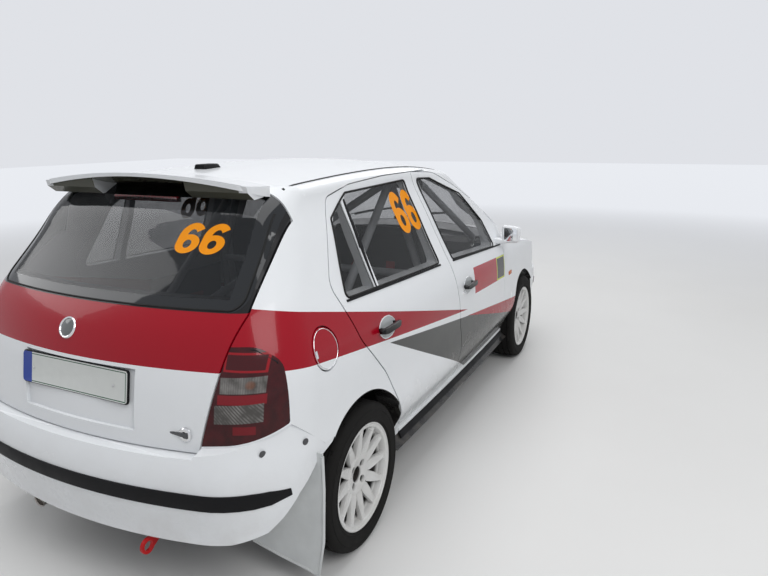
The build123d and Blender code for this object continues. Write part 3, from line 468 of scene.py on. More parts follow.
def tail_lamp_look():
    """One dark red moulding with two smoked lenses, a red bar between them and brighter fields."""
    made, graph = material(
        "tail_lamp_moulding", Coat_Weight=0.3, Coat_Roughness=0.02, Roughness=0.16, Specular_IOR_Level=0.2)
    x, _, z = graph.place()
    across = graph.math("ABSOLUTE", x)

    def edge(value, at, rising):
        low, high = (at - 0.0012, at + 0.0012) if rising else (at + 0.0012, at - 0.0012)
        return graph.between(value, low, high)

    def field(name, grow=0.0):
        low, high, inner, outer, slope = LAMP_FIELDS[name]
        level = graph.minus(z, graph.times(graph.minus(across, inner), slope))
        sides = graph.times(edge(across, inner - grow, True), edge(across, outer + grow, False))
        return graph.times(sides, graph.times(edge(level, low - grow, True), edge(level, high + grow, False)))

    def ribs(lean, pitch):
        place = graph.plus(across, graph.times(z, lean))
        return graph.between(graph.math("SINE", graph.times(place, 2 * pi / pitch)), -1, 1)

    cloud = graph.between(graph.noise(26, 4.0), 0.35, 0.65)
    upright, slanted = ribs(0.0, 0.007), ribs(0.9, 0.011)
    smoke = graph.mix(
        graph.times(cloud, graph.between(upright, 0, 1, 0.6, 1.0)), (0.07, 0.065, 0.06), (0.22, 0.21, 0.2))
    ribbed = graph.mix(graph.times(slanted, cloud), (0.07, 0.065, 0.06), (0.24, 0.23, 0.22))
    colour = graph.mix(cloud, (0.03, 0.0006, 0.0018), (0.055, 0.001, 0.003))
    bright = graph.minus(field("top", 0.003), field("top", -0.004))
    colour = graph.mix(bright, colour, (0.3, 0.004, 0.01))
    colour = graph.mix(field("top", -0.004), colour, (0.055, 0.0012, 0.0035))
    colour = graph.mix(field("bar"), colour, (0.2, 0.002, 0.008))
    colour = graph.mix(graph.times(field("low"), 0.7), colour, (0.2, 0.002, 0.008))
    colour = graph.mix(field("upper"), colour, smoke)
    colour = graph.mix(field("lower"), colour, ribbed)
    spot = graph.plus(graph.math("POWER", graph.minus(across, BULB_AT[0]), 2.0),
                      graph.math("POWER", graph.minus(z, BULB_AT[1]), 2.0))
    bulb = graph.times(graph.between(spot, 0.00026, 0.00006), 0.5)
    colour = graph.mix(bulb, colour, (0.22, 0.07, 0.025))
    graph.shade("Base Color", colour)
    relief = graph.plus(graph.times(field("upper"), upright), graph.times(field("lower"), slanted))
    relief = graph.minus(relief, graph.times(field("bar", 0.002), 0.8))
    graph.shade("Normal", graph.bump(relief, 0.35, 0.0012))
    return made


plate_face, plate_graph = material("plate_face", Roughness=0.35)
plate_graph.shade("Base Color", plate_colour(plate_graph))
lens_red = lens_look("red_lens", (0.1, 0.003, 0.006), (0.3, 0.008, 0.014), 0.014)
dish_paint = plain("dish_paint", (0.42, 0.44, 0.45), 0.3, grain=60, Coat_Weight=0.6)
plastic_gloss = plain("gloss_black_plastic", (0.006, 0.006, 0.007), 0.25, grain=60)
lens_clear_front = tinted_glass("headlamp_glass", (0.5, 0.52, 0.54), 0.7)
seat_shell_look = plain("seat_shell", (0.03, 0.03, 0.033), 0.35, grain=200)
suede_black = plain("black_suede", (0.016, 0.016, 0.017), 0.92, grain=700)
strap_red = plain("red_webbing", (0.3, 0.012, 0.015), 0.7, grain=900)
dash_plastic = plain("dash_plastic", (0.022, 0.022, 0.024), 0.6, grain=600)
dial_face = plain("dial_face", (0.03, 0.03, 0.032), 0.25, grain=60, Coat_Weight=1.0)
carbon_dark = plain("trim_panel", (0.028, 0.028, 0.03), 0.42, grain=300)
plate_plain = plain("blank_plate", (0.62, 0.64, 0.62), 0.35, grain=60, spread=0.05)
spring_red = plain("spring_paint", (0.35, 0.02, 0.015), 0.4, grain=200)
under_paint = plain("underbody_coat", (0.16, 0.16, 0.165), 0.75, grain=90, depth=0.001)
cover_red = plain("cam_cover_paint", (0.36, 0.02, 0.018), 0.5, grain=500, depth=0.0008)
radiator_core = plain("radiator_core", (0.05, 0.05, 0.052), 0.6, grain=900, depth=0.001)
mirror_silver = plain(
    "mirror_silver", (0.8, 0.82, 0.84), 0.04, metallic=1.0, grain=10, depth=0.0, spread=0.02)


def split_look(name, upper, lower, edge_z):
    """One colour above a height and a darker one below it; on the floor pan, inner paint and underbody coat.
    """
    made, graph = material(name, Roughness=0.6)
    below = graph.under(graph.place()[2], edge_z)
    cloud = graph.noise(14, 4.0)
    shade = graph.between(cloud, 0.3, 0.7, 0.0, 0.25)
    graph.shade("Base Color", graph.mix(shade, graph.mix(below, upper, lower), (0.12, 0.11, 0.1)))
    graph.shade("Normal", graph.bump(graph.noise(90, 3.0), 0.3, 0.0008))
    return made


floor_look = split_look("floor_finish", (0.42, 0.43, 0.44), (0.16, 0.16, 0.165), 0.245)
bulkhead_look = split_look("bulkhead_finish", (0.62, 0.63, 0.65), (0.35, 0.36, 0.37), 0.6)


def coat(piece, look):
    piece.data.materials.clear()
    piece.data.materials.append(look)


def dress(look, *names):
    for name in names:
        coat(nodes[name], look)


def four(stem):
    return [f"{stem}_{end}_{hand}" for end in ENDS for hand in HANDS]


dress(paint_side, "side_frame_right", "side_frame_left", "fenders", "fuel_flap")
dress(paint_side, *four("door"))
dress(paint_tail, "tailgate")
dress(paint_white, "roof", "bonnet", "mirror_right", "mirror_left")
dress(paint_bumper, "front_bumper", "rear_bumper")
dress(paint_spoiler, "spoiler")
dress(floor_look, "floor_pan")
dress(bulkhead_look, "bulkhead")
dress(glass_side, *four("glass"))
dress(glass_rear, "rear_glass")
dress(glass_front, "windscreen")
dress(plastic_black, "dashboard", "grille", "wheel_housings", "steering_wheel")
dress(rubber_tyre, *four("tyre"))
dress(wheel_paint, *four("rim"))
dress(iron_cast, "front_subframe", "rear_axle", "knuckle_right", "knuckle_left", "engine")
dress(steel_pipe, "exhaust")
dress(aluminium, "sump_guard", "radiator")
dress(cage_paint, "roll_cage")
dress(tail_lamp_look(), "tail_lamps")
dress(lamp_clear, "headlamps")
dress(flap_plastic, "mud_flaps")
dress(tow_red, "towing_eyes")
dress(seat_cloth, "seats")


def deselect():
    bpy.ops.object.select_all(action="DESELECT")


def pick(piece):
    deselect()
    piece.select_set(True)
    bpy.context.view_layer.objects.active = piece


def settle(piece):
    """Move a piece's place, turn and scale into its mesh."""
    pick(piece)
    bpy.ops.object.transform_apply(location=True, rotation=True, scale=True)
    return piece


def named(name):
    made = bpy.context.object
    made.name = name
    made.data.name = name
    return settle(made)


def block(name, low, high):
    low, high = Vector(low), Vector(high)
    deselect()
    bpy.ops.mesh.primitive_cube_add(size=1, location=(low + high) / 2, scale=high - low)
    return named(name)


def rod(name, start, end, radius, sides=24):
    start, end = Vector(start), Vector(end)
    turn = (end - start).to_track_quat("Z", "Y").to_euler()
    deselect()
    bpy.ops.mesh.primitive_cylinder_add(
        vertices=sides, radius=radius, depth=(end - start).length, location=(start + end) / 2, rotation=turn)
    return named(name)


def ball(name, at, radius, scale=(1, 1, 1), segments=32, rings=16):
    deselect()
    bpy.ops.mesh.primitive_uv_sphere_add(
        segments=segments, ring_count=rings, radius=radius, location=at, scale=scale)
    return named(name)


def torus(name, at, turn, major, minor, sides=64, ring=12):
    deselect()
    bpy.ops.mesh.primitive_torus_add(location=at, rotation=turn, major_radius=major, minor_radius=minor,
                                     major_segments=sides, minor_segments=ring)
    return named(name)


class Editing:
    """Edit mode on one piece, where faces, edges or points are selected by a test."""

    def __init__(self, piece):
        self.piece = piece

    def __enter__(self):
        pick(self.piece)
        bpy.ops.object.mode_set(mode="EDIT")
        self.everything(False)
        return self

    def __exit__(self, *_):
        bpy.ops.object.mode_set(mode="OBJECT")

    def everything(self, on=True):
        bpy.ops.mesh.select_all(action="SELECT" if on else "DESELECT")

    def _choose(self, kind, parts, test):
        bpy.ops.mesh.select_mode(type=kind)
        self.everything(False)
        mesh = bmesh.from_edit_mesh(self.piece.data)
        for part in getattr(mesh, parts):
            if test(part):
                part.select_set(True)
        mesh.select_flush_mode()
        bmesh.update_edit_mesh(self.piece.data)

    def faces(self, test):
        self._choose("FACE", "faces", test)

    def edges(self, test):
        self._choose("EDGE", "edges", test)

    def points(self, test):
        self._choose("VERT", "verts", test)

    def facing(self, way, least=0.9):
        sign, axis = (1 if way[0] == "+" else -1), "xyz".index(way[1])
        self.faces(lambda f: sign * f.normal[axis] > least)

    def edges_along(self, axis, least):
        axis = "xyz".index(axis)
        self.edges(lambda e: abs(e.verts[0].co[axis] - e.verts[1].co[axis]) > least)

    def move(self, *by):
        bpy.ops.transform.translate(value=by)

    def draw_out(self, *by):
        bpy.ops.mesh.extrude_region_move(TRANSFORM_OT_translate={"value": by})

    def inset(self, by, depth=0.0, single=False):
        bpy.ops.mesh.inset(thickness=by, depth=depth, use_individual=single)

    def move_along(self, by):
        bpy.ops.transform.shrink_fatten(value=by)

    def scale(self, *by, about=None):
        extra = {"center_override": about} if about is not None else {}
        bpy.ops.transform.resize(value=by, **extra)

    def bevel(self, width, segments=2):
        bpy.ops.mesh.bevel(offset=width, segments=segments, affect="EDGES")

    def merge(self, within=0.00005):
        self.everything()
        bpy.ops.mesh.remove_doubles(threshold=within)
        bpy.ops.mesh.normals_make_consistent(inside=False)


def all_edges(_):
    return True


def modified(piece, kind, **settings):
    """Add a modifier with its settings and apply it."""
    pick(piece)
    mod = piece.modifiers.new(kind.lower(), kind)
    for key, value in settings.items():
        setattr(mod, key, value)
    bpy.ops.object.modifier_apply(modifier=mod.name)


def soften(piece, width, segments=2, angle=35):
    """Bevel every edge sharper than the angle."""
    modified(piece, "BEVEL", width=width, segments=segments, limit_method="ANGLE", angle_limit=radians(angle))


def smooth(piece, angle):
    pick(piece)
    bpy.ops.object.shade_smooth_by_angle(angle=radians(angle))


def bolt_of(name, start, end, radius, way, by, depth):
    """A hexagon head whose end is stamped."""
    piece = rod(name, start, end, radius, 6)
    pressed(piece, way, by, depth)
    return piece


def pressed(piece, way, by, depth):
    """Inset the faces that look one way, and raise or sink them."""
    with Editing(piece) as work:
        work.facing(way)
        work.inset(by, depth=depth)


def cut(piece, tool):
    """Take a closed tool shape out of a piece."""
    modified(piece, "BOOLEAN", operation="DIFFERENCE", solver="EXACT", object=tool)
    bpy.data.objects.remove(tool)


def line_of(name, points):
    """A chain of edges through points, drawn by extruding one point."""
    deselect()
    bpy.ops.mesh.primitive_plane_add(size=0.01)
    piece = named(name)
    with Editing(piece) as work:
        work.everything()
        bpy.ops.mesh.merge(type="CENTER")
        bpy.ops.mesh.select_mode(type="VERT")
        work.everything()
        work.move(*points[0])
        for before, after in zip(points, points[1:]):
            work.draw_out(*(Vector(after) - Vector(before)))
    return piece


def spun(name, profile, steps, axis="x", at=None):
    """A shape of revolution; each point is along and out for x, and out and along for y and z."""
    piece = line_of(name, [(a, b, 0) if axis == "y" else (a, 0, b) for a, b in profile])
    with Editing(piece) as work:
        work.everything()
        bpy.ops.mesh.spin(steps=steps, angle=2 * pi, center=(0, 0, 0), axis=AXES[axis])
        work.merge()
    if at:
        put_at(piece, at)
    return piece


def sheet_of(name, points, thickness_by):
    """A flat outline through points, filled and given a thickness along a vector."""
    piece = line_of(name, [*points, points[0]])
    with Editing(piece) as work:
        work.everything()
        bpy.ops.mesh.remove_doubles(threshold=0.00005)
        work.everything()
        bpy.ops.mesh.edge_face_add()
        work.everything()
        work.draw_out(*thickness_by)
        work.merge()
    return piece


def swept(name, points, radius, closed=False, sides=10):
    """A round tube along a smooth path, made a mesh."""
    curve = bpy.data.curves.new(name, "CURVE")
    curve.dimensions = "3D"
    curve.bevel_depth = radius
    curve.bevel_resolution = max(1, sides // 4 - 1)
    curve.use_fill_caps = True
    spline = curve.splines.new("POLY")
    spline.points.add(len(points) - 1)
    for knot, at in zip(spline.points, points):
        knot.co = (*at, 1)
    spline.use_cyclic_u = closed
    made = bpy.data.objects.new(name, curve)
    bpy.context.scene.collection.objects.link(made)
    pick(made)
    bpy.ops.object.convert(target="MESH")
    return bpy.context.object


def joined(name, pieces):
    deselect()
    for piece in pieces:
        piece.select_set(True)
    bpy.context.view_layer.objects.active = pieces[0]
    bpy.ops.object.join()
    return named(name)


def copy_of(piece, name, matrix):
    """A copy with its own mesh, moved by a matrix; a mirrored one has its faces turned back."""
    made = piece.copy()
    made.data = piece.data.copy()
    made.name = name
    bpy.context.scene.collection.objects.link(made)
    made.data.transform(matrix)
    if matrix.determinant() < 0:
        made.data.flip_normals()
    return made




def put_at(piece, at, angle=0.0, axis="Z"):
    """Turn a piece about an axis through the origin, then move it."""
    piece.data.transform(Matrix.Translation(at) @ Matrix.Rotation(angle, 4, axis))


def aim(piece, at, way, track, up):
    """Turn one axis of a piece to point a given way, then move it."""
    piece.data.transform(Matrix.Translation(at) @ way.to_track_quat(track, up).to_matrix().to_4x4())


def finish(piece, look, body="body", angle=40):
    smooth(piece, angle)
    coat(piece, look)
    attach(piece, body)


def pair_of(piece, look, body="body", angle=40):
    """The piece on the right side, and its mirror image on the left."""
    base = piece.name
    piece.name = f"{base}_right"
    finish(piece, look, body, angle)
    left = copy_of(piece, f"{base}_left", MIRROR)
    left.parent = None
    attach(left, body.replace("right", "left"))


# How an outline's two values are laid in space, for a patch seen from that side
FACINGS = {
    "side": Matrix(((0, 0, 1, -1.2), (1, 0, 0, 0), (0, 1, 0, 0), (0, 0, 0, 1))),
    "tail": Matrix(((1, 0, 0, 0), (0, 0, 1, 2.3), (0, 1, 0, 0), (0, 0, 0, 1))),
    "far_side": Matrix(((0, 0, 1, 1.2), (1, 0, 0, 0), (0, 1, 0, 0), (0, 0, 0, 1))),
    "nose": Matrix(((1, 0, 0, 0), (0, 0, 1, -2.3), (0, 1, 0, 0), (0, 0, 0, 1))),
    "top": Matrix(((1, 0, 0, 0), (0, 1, 0, 0), (0, 0, 1, 1.8), (0, 0, 0, 1))),
}
CASTS = {"side": (1, 0, 0), "far_side": (-1, 0, 0), "tail": (0, -1, 0), "nose": (0, 1, 0), "top": (0, 0, -1)}


def middle_of(outline):
    return Vector([sum(p[n] for p in outline) / len(outline) for n in (0, 1)])


def rounded(points, radius, steps=4):
    """An outline with every corner turned into a short arc."""
    made = []
    count = len(points)
    for n, corner in enumerate(points):
        at = Vector(corner)
        back = (Vector(points[n - 1]) - at).normalized()
        ahead = (Vector(points[(n + 1) % count]) - at).normalized()
        half_turn = back.angle(ahead) / 2
        reach = radius / tan(half_turn)
        centre = at + (back + ahead).normalized() * (radius / sin(half_turn))
        start, end = at + back * reach - centre, at + ahead * reach - centre
        first = atan2(start.y, start.x)
        sweep = (atan2(end.y, end.x) - first + pi) % (2 * pi) - pi
        for k in range(steps + 1):
            turn = first + sweep * k / steps
            made.append((centre.x + radius * cos(turn), centre.y + radius * sin(turn)))
    return made


def patch(name, outline, facing, target, thickness, step=0.02, lift=0.0):
    """A thin plate with a convex outline, laid on the surface of a CAD node and given a thickness."""
    low = [min(p[n] for p in outline) for n in (0, 1)]
    high = [max(p[n] for p in outline) for n in (0, 1)]
    counts = [max(1, round((b - a) / step)) for a, b in zip(low, high)]
    deselect()
    bpy.ops.mesh.primitive_grid_add(
        x_subdivisions=counts[0], y_subdivisions=counts[1], size=1,
        location=((low[0] + high[0]) / 2, (low[1] + high[1]) / 2, 0))
    piece = bpy.context.object
    piece.scale = (high[0] - low[0], high[1] - low[1], 1)
    piece = named(name)
    middle = middle_of(outline)
    with Editing(piece) as work:
        for start, end in zip(outline, [*outline[1:], outline[0]]):
            along = Vector(end) - Vector(start)
            if along.length < 0.0001:
                continue
            out = Vector((along.y, -along.x))
            if out.dot(middle - Vector(start)) > 0:
                out = -out
            work.everything()
            bpy.ops.mesh.bisect(plane_co=(*start, 0), plane_no=(*out, 0), clear_outer=True)
    piece.matrix_world = FACINGS[facing]
    settle(piece)
    lay_on(piece, facing, target, lift)
    return thicken(piece, thickness)


def lay_on(piece, facing, target, lift):
    """Cast a flat piece onto a CAD node and drop the points that miss it."""
    axis = CASTS[facing]
    along = {f"use_project_{letter}": bool(axis[n]) for n, letter in enumerate("xyz")}
    modified(piece, "SHRINKWRAP", target=nodes[target], wrap_method="PROJECT", offset=lift, **along,
             use_positive_direction=sum(axis) > 0, use_negative_direction=sum(axis) < 0)
    start = FACINGS[facing] @ Vector((0, 0, 0))
    with Editing(piece) as work:
        work.points(lambda p: abs((p.co - start).dot(Vector(axis))) < NEAR)
        bpy.ops.mesh.delete(type="VERT")


def thicken(piece, thickness):
    modified(piece, "SOLIDIFY", thickness=thickness, offset=0, use_even_offset=True)
    with Editing(piece) as work:
        work.merge()
    return piece


def skin_point(target, facing, a, b, lift=0.0):
    """The point that is met first from one side, at two coordinates, on the first CAD node that has one."""
    start = FACINGS[facing] @ Vector((a, b, 0))
    towards = Vector(CASTS[facing])
    for node in ([target] if isinstance(target, str) else target):
        met, at, _, _ = nodes[node].ray_cast(start, towards)
        if met:
            return at - towards * lift
    raise ValueError(f"no surface of {target} at {a}, {b} from the {facing}")


def on_skin(target, facing, points, step=0.03, lift=0.0):
    """Points along an outline on the surface, close enough together to follow its curve."""
    made = []
    for start, end in zip(points, points[1:]):
        start, end = Vector(start), Vector(end)
        pieces = max(1, ceil((end - start).length / step))
        for n in range(pieces):
            made.append(skin_point(target, facing, *start.lerp(end, n / pieces), lift))
    made.append(skin_point(target, facing, *points[-1], lift))
    return made


def ribbon(name, low, high, thickness):
    """A band between two lines of points, given a thickness."""
    piece = joined(name, [line_of("low_line", low), line_of("high_line", high)])
    with Editing(piece) as work:
        work.everything()
        bpy.ops.mesh.bridge_edge_loops()
        work.everything()
        work.merge()
    return thicken(piece, thickness)


def give(piece, look, body):
    coat(piece, look)
    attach(piece, body)


# Wheels: everything is modelled round the X axis at the origin, its outer side towards -X
TREAD_R = 0.2965
GROOVES = (-0.0585, -0.0195, 0.0195, 0.0585)
GROOVE_HALF = 0.0035
GROOVE_DEEP = 0.007
TREAD_STEPS = 96
SPOKE_COUNT = 12
LUG_RING_R = 0.05
LUG_COUNT = 4
STUD_COUNT = 24
WHEEL_COVERS = {"tyre": "tread", "rim": "spoke"}
# Spoke rings: radius, half width, outer face, depth
SPOKE_RINGS = [(0.07, 0.017, -0.06, 0.03), (0.088, 0.0215, -0.064, 0.026), (0.118, 0.0205, -0.069, 0.022),
               (0.15, 0.016, -0.074, 0.02), (0.178, 0.0125, -0.079, 0.022), (0.199, 0.015, -0.082, 0.03)]


def tyre_shape():
    side = [
        (0.074, 0.2055), (0.082, 0.2075), (0.0885, 0.214), (0.0925, 0.222), (0.0962, 0.224), (0.0962, 0.229),
        (0.0945, 0.231), (0.0965, 0.248), (0.096, 0.262), (0.0972, 0.263), (0.0972, 0.2655), (0.095, 0.267),
        (0.0935, 0.276), (0.0905, 0.285), (0.084, 0.2915), (0.074, TREAD_R - 0.0015)]
    crown = []
    for at in GROOVES:
        low = TREAD_R - GROOVE_DEEP
        crown += [(at - GROOVE_HALF, TREAD_R), (at - GROOVE_HALF + 0.0012, low),
                  (at + GROOVE_HALF - 0.0012, low), (at + GROOVE_HALF, TREAD_R)]
    outer = [(-x, r) for x, r in side]
    inner_wall = [
        (0.068, 0.209), (0.084, 0.236), (0.085, 0.262), (0.072, 0.282), (-0.072, 0.282), (-0.085, 0.262),
        (-0.084, 0.236), (-0.068, 0.209)]
    profile = [*outer, *crown, *reversed(side), *inner_wall]
    piece = spun("tyre_shape", [*profile, profile[0]], TREAD_STEPS)
    step = 2 * pi / TREAD_STEPS

    def slot_at(spacing, shift, low, high):
        def test(face):
            at = face.calc_center_median()
            turn = int(((atan2(at.y, at.z) % (2 * pi)) + 0.001) / step)
            return low < abs(at.x) < high and hypot(at.y,
                                                    at.z) > TREAD_R - 0.006 and (turn + shift) % spacing == 0
        return test

    with Editing(piece) as work:
        work.faces(slot_at(6, 0, 0.063, 0.074))
        work.inset(0.003, single=True)
        work.move_along(-0.004)
        work.faces(slot_at(6, 3, 0.024, 0.054))
        work.inset(0.004, single=True)
        work.move_along(-0.004)
    return piece


def spoke_shape():
    first, last = SPOKE_RINGS[0], SPOKE_RINGS[-1]
    piece = block("spoke_shape", (first[2], -first[1], first[0]), (first[2] + first[3], first[1], last[0]))
    with Editing(piece) as work:
        for r, *_ in SPOKE_RINGS[1:-1]:
            work.everything()
            bpy.ops.mesh.bisect(plane_co=(0, 0, r), plane_no=(0, 0, 1))
        for r, half, front, depth in SPOKE_RINGS:
            work.points(lambda p: abs(p.co.z - r) < NEAR)
            work.scale(depth / first[3], half / first[1], 1, about=(first[2], 0, r))
            work.move(front - first[2], 0, 0)
        work.facing("-x", 0.8)
        work.inset(0.0035, depth=-0.0035)
    soften(piece, 0.0016, 2, 25)
    return piece


def nut_shape():
    piece = bolt_of(
        "nut_shape", (-0.046, 0, LUG_RING_R), (-0.026, 0, LUG_RING_R), 0.0095, "-x", 0.0025, -0.003)
    soften(piece, 0.0007, 2, 30)
    return piece


def rim_shape():
    barrel = [(-0.0885, 0.2145), (-0.0905, 0.2125), (-0.0905, 0.2095), (-0.087, 0.2065), (-0.0845, 0.196),
              (-0.079, 0.1925), (-0.056, 0.1905), (-0.042, 0.176), (0.042, 0.175), (0.056, 0.196),
              (0.084, 0.1985), (0.0875, 0.213), (0.0865, 0.2145), (0.082, 0.2145), (0.0765, 0.2055),
              (0.05, 0.2035), (0.034, 0.1815), (-0.032, 0.1815), (-0.05, 0.2035), (-0.0765, 0.2055),
              (-0.082, 0.2145), (-0.0885, 0.2145)]
    hub = [(-0.042, 0.0265), (-0.042, 0.03), (-0.05, 0.0315), (-0.054, 0.034), (-0.057, 0.048),
           (-0.06, 0.064), (-0.062, 0.07), (-0.06, 0.079), (-0.056, 0.083), (-0.035, 0.084),
           (-0.02, 0.072), (-0.02, 0.0265), (-0.042, 0.0265)]
    wall = spun("barrel_shape", barrel, 72)
    disc = spun("hub_shape", hub, 48)
    for n in range(LUG_COUNT):
        at = turned(n + 0.5, LUG_COUNT) @ Vector((0, 0, LUG_RING_R))
        cut(disc, rod("lug_hole", (-0.08, at.y, at.z), (-0.03, at.y, at.z), 0.015, 24))
    soften(disc, 0.0008, 1, 40)
    first_spoke = spoke_shape()
    spokes = [copy_of(first_spoke, f"spoke_{n}", turned(n, SPOKE_COUNT)) for n in range(1, SPOKE_COUNT)]
    stud = ball("stud", (-0.0848, 0, 0.2012), 0.0034, (0.7, 1, 1), 10, 6)
    studs = [copy_of(stud, f"stud_{n}", turned(n, STUD_COUNT)) for n in range(1, STUD_COUNT)]
    valve = rod("valve", (-0.083, 0, 0.189), (-0.098, 0, 0.186), 0.0035, 10)
    with Editing(valve) as work:
        work.facing("-x")
        work.inset(0.0008)
        work.draw_out(-0.003, 0, 0)
    valve.data.transform(turned(0.5, SPOKE_COUNT))
    return joined("rim_shape", [wall, disc, first_spoke, *spokes, stud, *studs, valve])


def turned(n, count):
    """The turn of one place out of a ring of equal ones."""
    return Matrix.Rotation(2 * pi * n / count, 4, "X")


def hub_place(end, hand):
    place = Matrix.Translation((-WHEEL_X, AXLE_Y[end], HUB_Z))
    return MIRROR @ place if hand == "left" else place


def wheels():
    """A tyre, a rim and its nuts on each wheel, in place of the plain ones."""
    tyre, rim, nut = tyre_shape(), rim_shape(), nut_shape()
    smooth(tyre, 30)
    smooth(rim, 32)
    smooth(nut, 30)
    for end in ENDS:
        for hand in HANDS:
            side, body = hub_place(end, hand), f"wheel_{end}_{hand}"
            for shape, name, look in ((tyre, "tyre", rubber_tyre), (rim, "rim", wheel_paint)):
                cover = copy_of(shape, f"{WHEEL_COVERS[name]}_{name}_{end}_{hand}", side)
                give(cover, look, body)
                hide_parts(f"{name}_{end}_{hand}")
            nuts = [copy_of(nut, "nut", side @ turned(n + 0.5, LUG_COUNT)) for n in range(LUG_COUNT)]
            give(joined(f"wheel_nuts_{end}_{hand}", nuts), steel_dark, body)
    for shape in (tyre, rim, nut):
        bpy.data.objects.remove(shape)


def brakes():
    """Drilled discs with a vented edge and a caliper on each front knuckle, drums at the rear."""
    disc = [
        (-0.013, 0.07), (-0.0135, 0.138), (-0.0105, 0.14), (-0.0075, 0.138), (-0.0075, 0.112),
        (-0.0035, 0.112), (-0.0035, 0.138), (0.0, 0.14), (0.0045, 0.138), (0.0045, 0.07), (-0.013, 0.07)]
    drum = [(-0.015, 0.03), (-0.015, 0.104), (-0.013, 0.114), (-0.008, 0.119), (0.055, 0.121), (0.058, 0.123),
            (0.062, 0.121), (0.062, 0.03), (-0.015, 0.03)]
    front = spun("brake_disc_shape", disc, 64)
    rear = spun("brake_drum_shape", drum, 64)
    for n in range(24):
        at = turned(n, 24) @ Vector((0, 0, 0.096 + 0.022 * (n % 3)))
        if n % 2:
            cut(front, rod("disc_hole", (-0.03, at.y, at.z), (0.02, at.y, at.z), 0.0035, 10))
    caliper = block("caliper_shape", (-0.03, 0.074, -0.072), (0.034, 0.142, 0.09))
    with Editing(caliper) as work:
        work.edges(lambda e: abs(e.verts[0].co.x - e.verts[1].co.x) < NEAR and e.calc_length() > 0.1)
        work.bevel(0.016, 3)
        work.facing("+y", 0.95)
        work.inset(0.012, depth=-0.005)
    soften(caliper, 0.003, 2, 30)
    for piece in (front, rear, caliper):
        smooth(piece, 35)
    for hand in HANDS:
        for piece, end, look, body in ((front, "front", steel_bright, f"knuckle_{hand}"),
                                       (rear, "rear", iron_cast, "body"), (caliper, "front", caliper_paint,
                                                                           f"knuckle_{hand}")):
            name = piece.name.replace("_shape", "")
            give(copy_of(piece, f"{name}_{hand}", hub_place(end, hand)), look, body)
    for shape in (front, rear, caliper):
        bpy.data.objects.remove(shape)


# Tail
PLATE_TOP_Y = 1.874
PLATE_LOW_Y = 1.892
PLATE_MARGIN = 0.004
PLATE_CLEAR = 0.01
STRIP_STEPS = 40
# How far the rear strip's edges come in at its first two points from each end
REAR_TAPERS = {0: 0.016, 1: 0.003}
REAR_STRIP = (0.44, 0.498)
BADGE_AT = (0.06, 0.963)
BADGE_LEAN = radians(27)
LATCH_AT = (-0.466, 0.673)
SCREWS = [(1.787, 0.62), (1.655, 0.619)]


def thin_plate(name, low, high, way, corner, edge, rise):
    """A thin plate with rounded corners whose face is raised or sunk inside a narrow edge."""
    piece = block(name, low, high)
    with Editing(piece) as work:
        work.edges_along("y", 0.002)
        work.bevel(corner, 4)
        work.facing(way)
        work.inset(edge, depth=rise)
    return piece


def number_plate():
    """A blank plate on a dark backing, with its two screws."""
    half_w, half_h = PLATE_SIZE[0] / 2, PLATE_SIZE[1] / 2
    x, z = PLATE_MIDDLE
    tilt = turn_about((x, PLATE_TOP_Y, z), atan2(PLATE_LOW_Y - PLATE_TOP_Y, PLATE_SIZE[1]), "X")
    sheet = thin_plate("number_plate", (x - half_w, PLATE_TOP_Y, z - half_h),
                       (x + half_w, PLATE_TOP_Y + 0.004, z + half_h), "+y", 0.01, 0.0045, -0.0012)
    low = (x - half_w - PLATE_MARGIN, PLATE_TOP_Y - 0.006, z - half_h - PLATE_MARGIN)
    high = (x + half_w + PLATE_MARGIN, PLATE_TOP_Y - 0.0005, z + half_h + PLATE_MARGIN)
    holder = thin_plate("plate_holder", low, high, "+y", 0.012, 0.003, 0.002)
    for piece, look in ((sheet, plate_face), (holder, plastic_black)):
        piece.data.transform(Matrix.Translation((0, PLATE_CLEAR, 0)) @ tilt)
        finish(piece, look, "tailgate", 30)
    for n, at in enumerate((-0.2, 0.2)):
        screw = ball(f"plate_screw_{n}", (x + at, PLATE_TOP_Y + 0.016, z), 0.0042, (1, 0.5, 1), 14, 8)
        finish(screw, steel_bright, "tailgate", 35)


def turn_about(point, angle, axis):
    at = Matrix.Translation(point)
    return at @ Matrix.Rotation(angle, 4, axis) @ at.inverted()


def lamp_edges():
    """A dark rubber line along the front edge of each tail lamp."""
    line = rounded([(1.722, 0.712), (1.7, 0.905), (1.738, 0.95), (1.772, 0.95)], 0.012)[5:-5]
    piece = swept("tail_lamp_seal", [skin_point(["tail_lamps", "side_frame_right"], "side", y, z, 0.0002)
                                     for y, z in line], 0.0022)
    pair_of(piece, rubber_seal, "body", 60)


def bumper_strip(end, facing, half, band, tapers):
    """The black strip along a bumper's fattest line, round both corners."""
    low, high = [], []
    for n in range(STRIP_STEPS + 1):
        x = -half + 2 * half * n / STRIP_STEPS
        taper = tapers.get(min(n, STRIP_STEPS - n), 0)
        low.append(skin_point(f"{end}_bumper", facing, x, band[0] + taper, 0.0015))
        high.append(skin_point(f"{end}_bumper", facing, x, band[1] - taper, 0.0015))
    piece = ribbon(f"{end}_bumper_strip", low, high, 0.009)
    soften(piece, 0.0028, 3, 50)
    finish(piece, plastic_black)


def tail_badge():
    """A plain round badge, domed, in a bright ring."""
    at = skin_point("tailgate", "tail", *BADGE_AT)
    disc = spun("tail_badge", [(0, 0.004), (0.012, 0.0038), (0.024, 0.0028), (0.031, 0.001), (0.032, -0.002)],
                40, "y")
    ring = spun("tail_badge_ring", [
        (0.031, -0.003), (0.031, 0.002), (0.033, 0.0045), (0.036, 0.005), (0.0385, 0.003), (0.04, -0.003),
        (0.031, -0.003)], 40, "y")
    for piece, look in ((disc, badge_grey), (ring, chrome)):
        put_at(piece, at, BADGE_LEAN, "X")
        finish(piece, look, "tailgate")


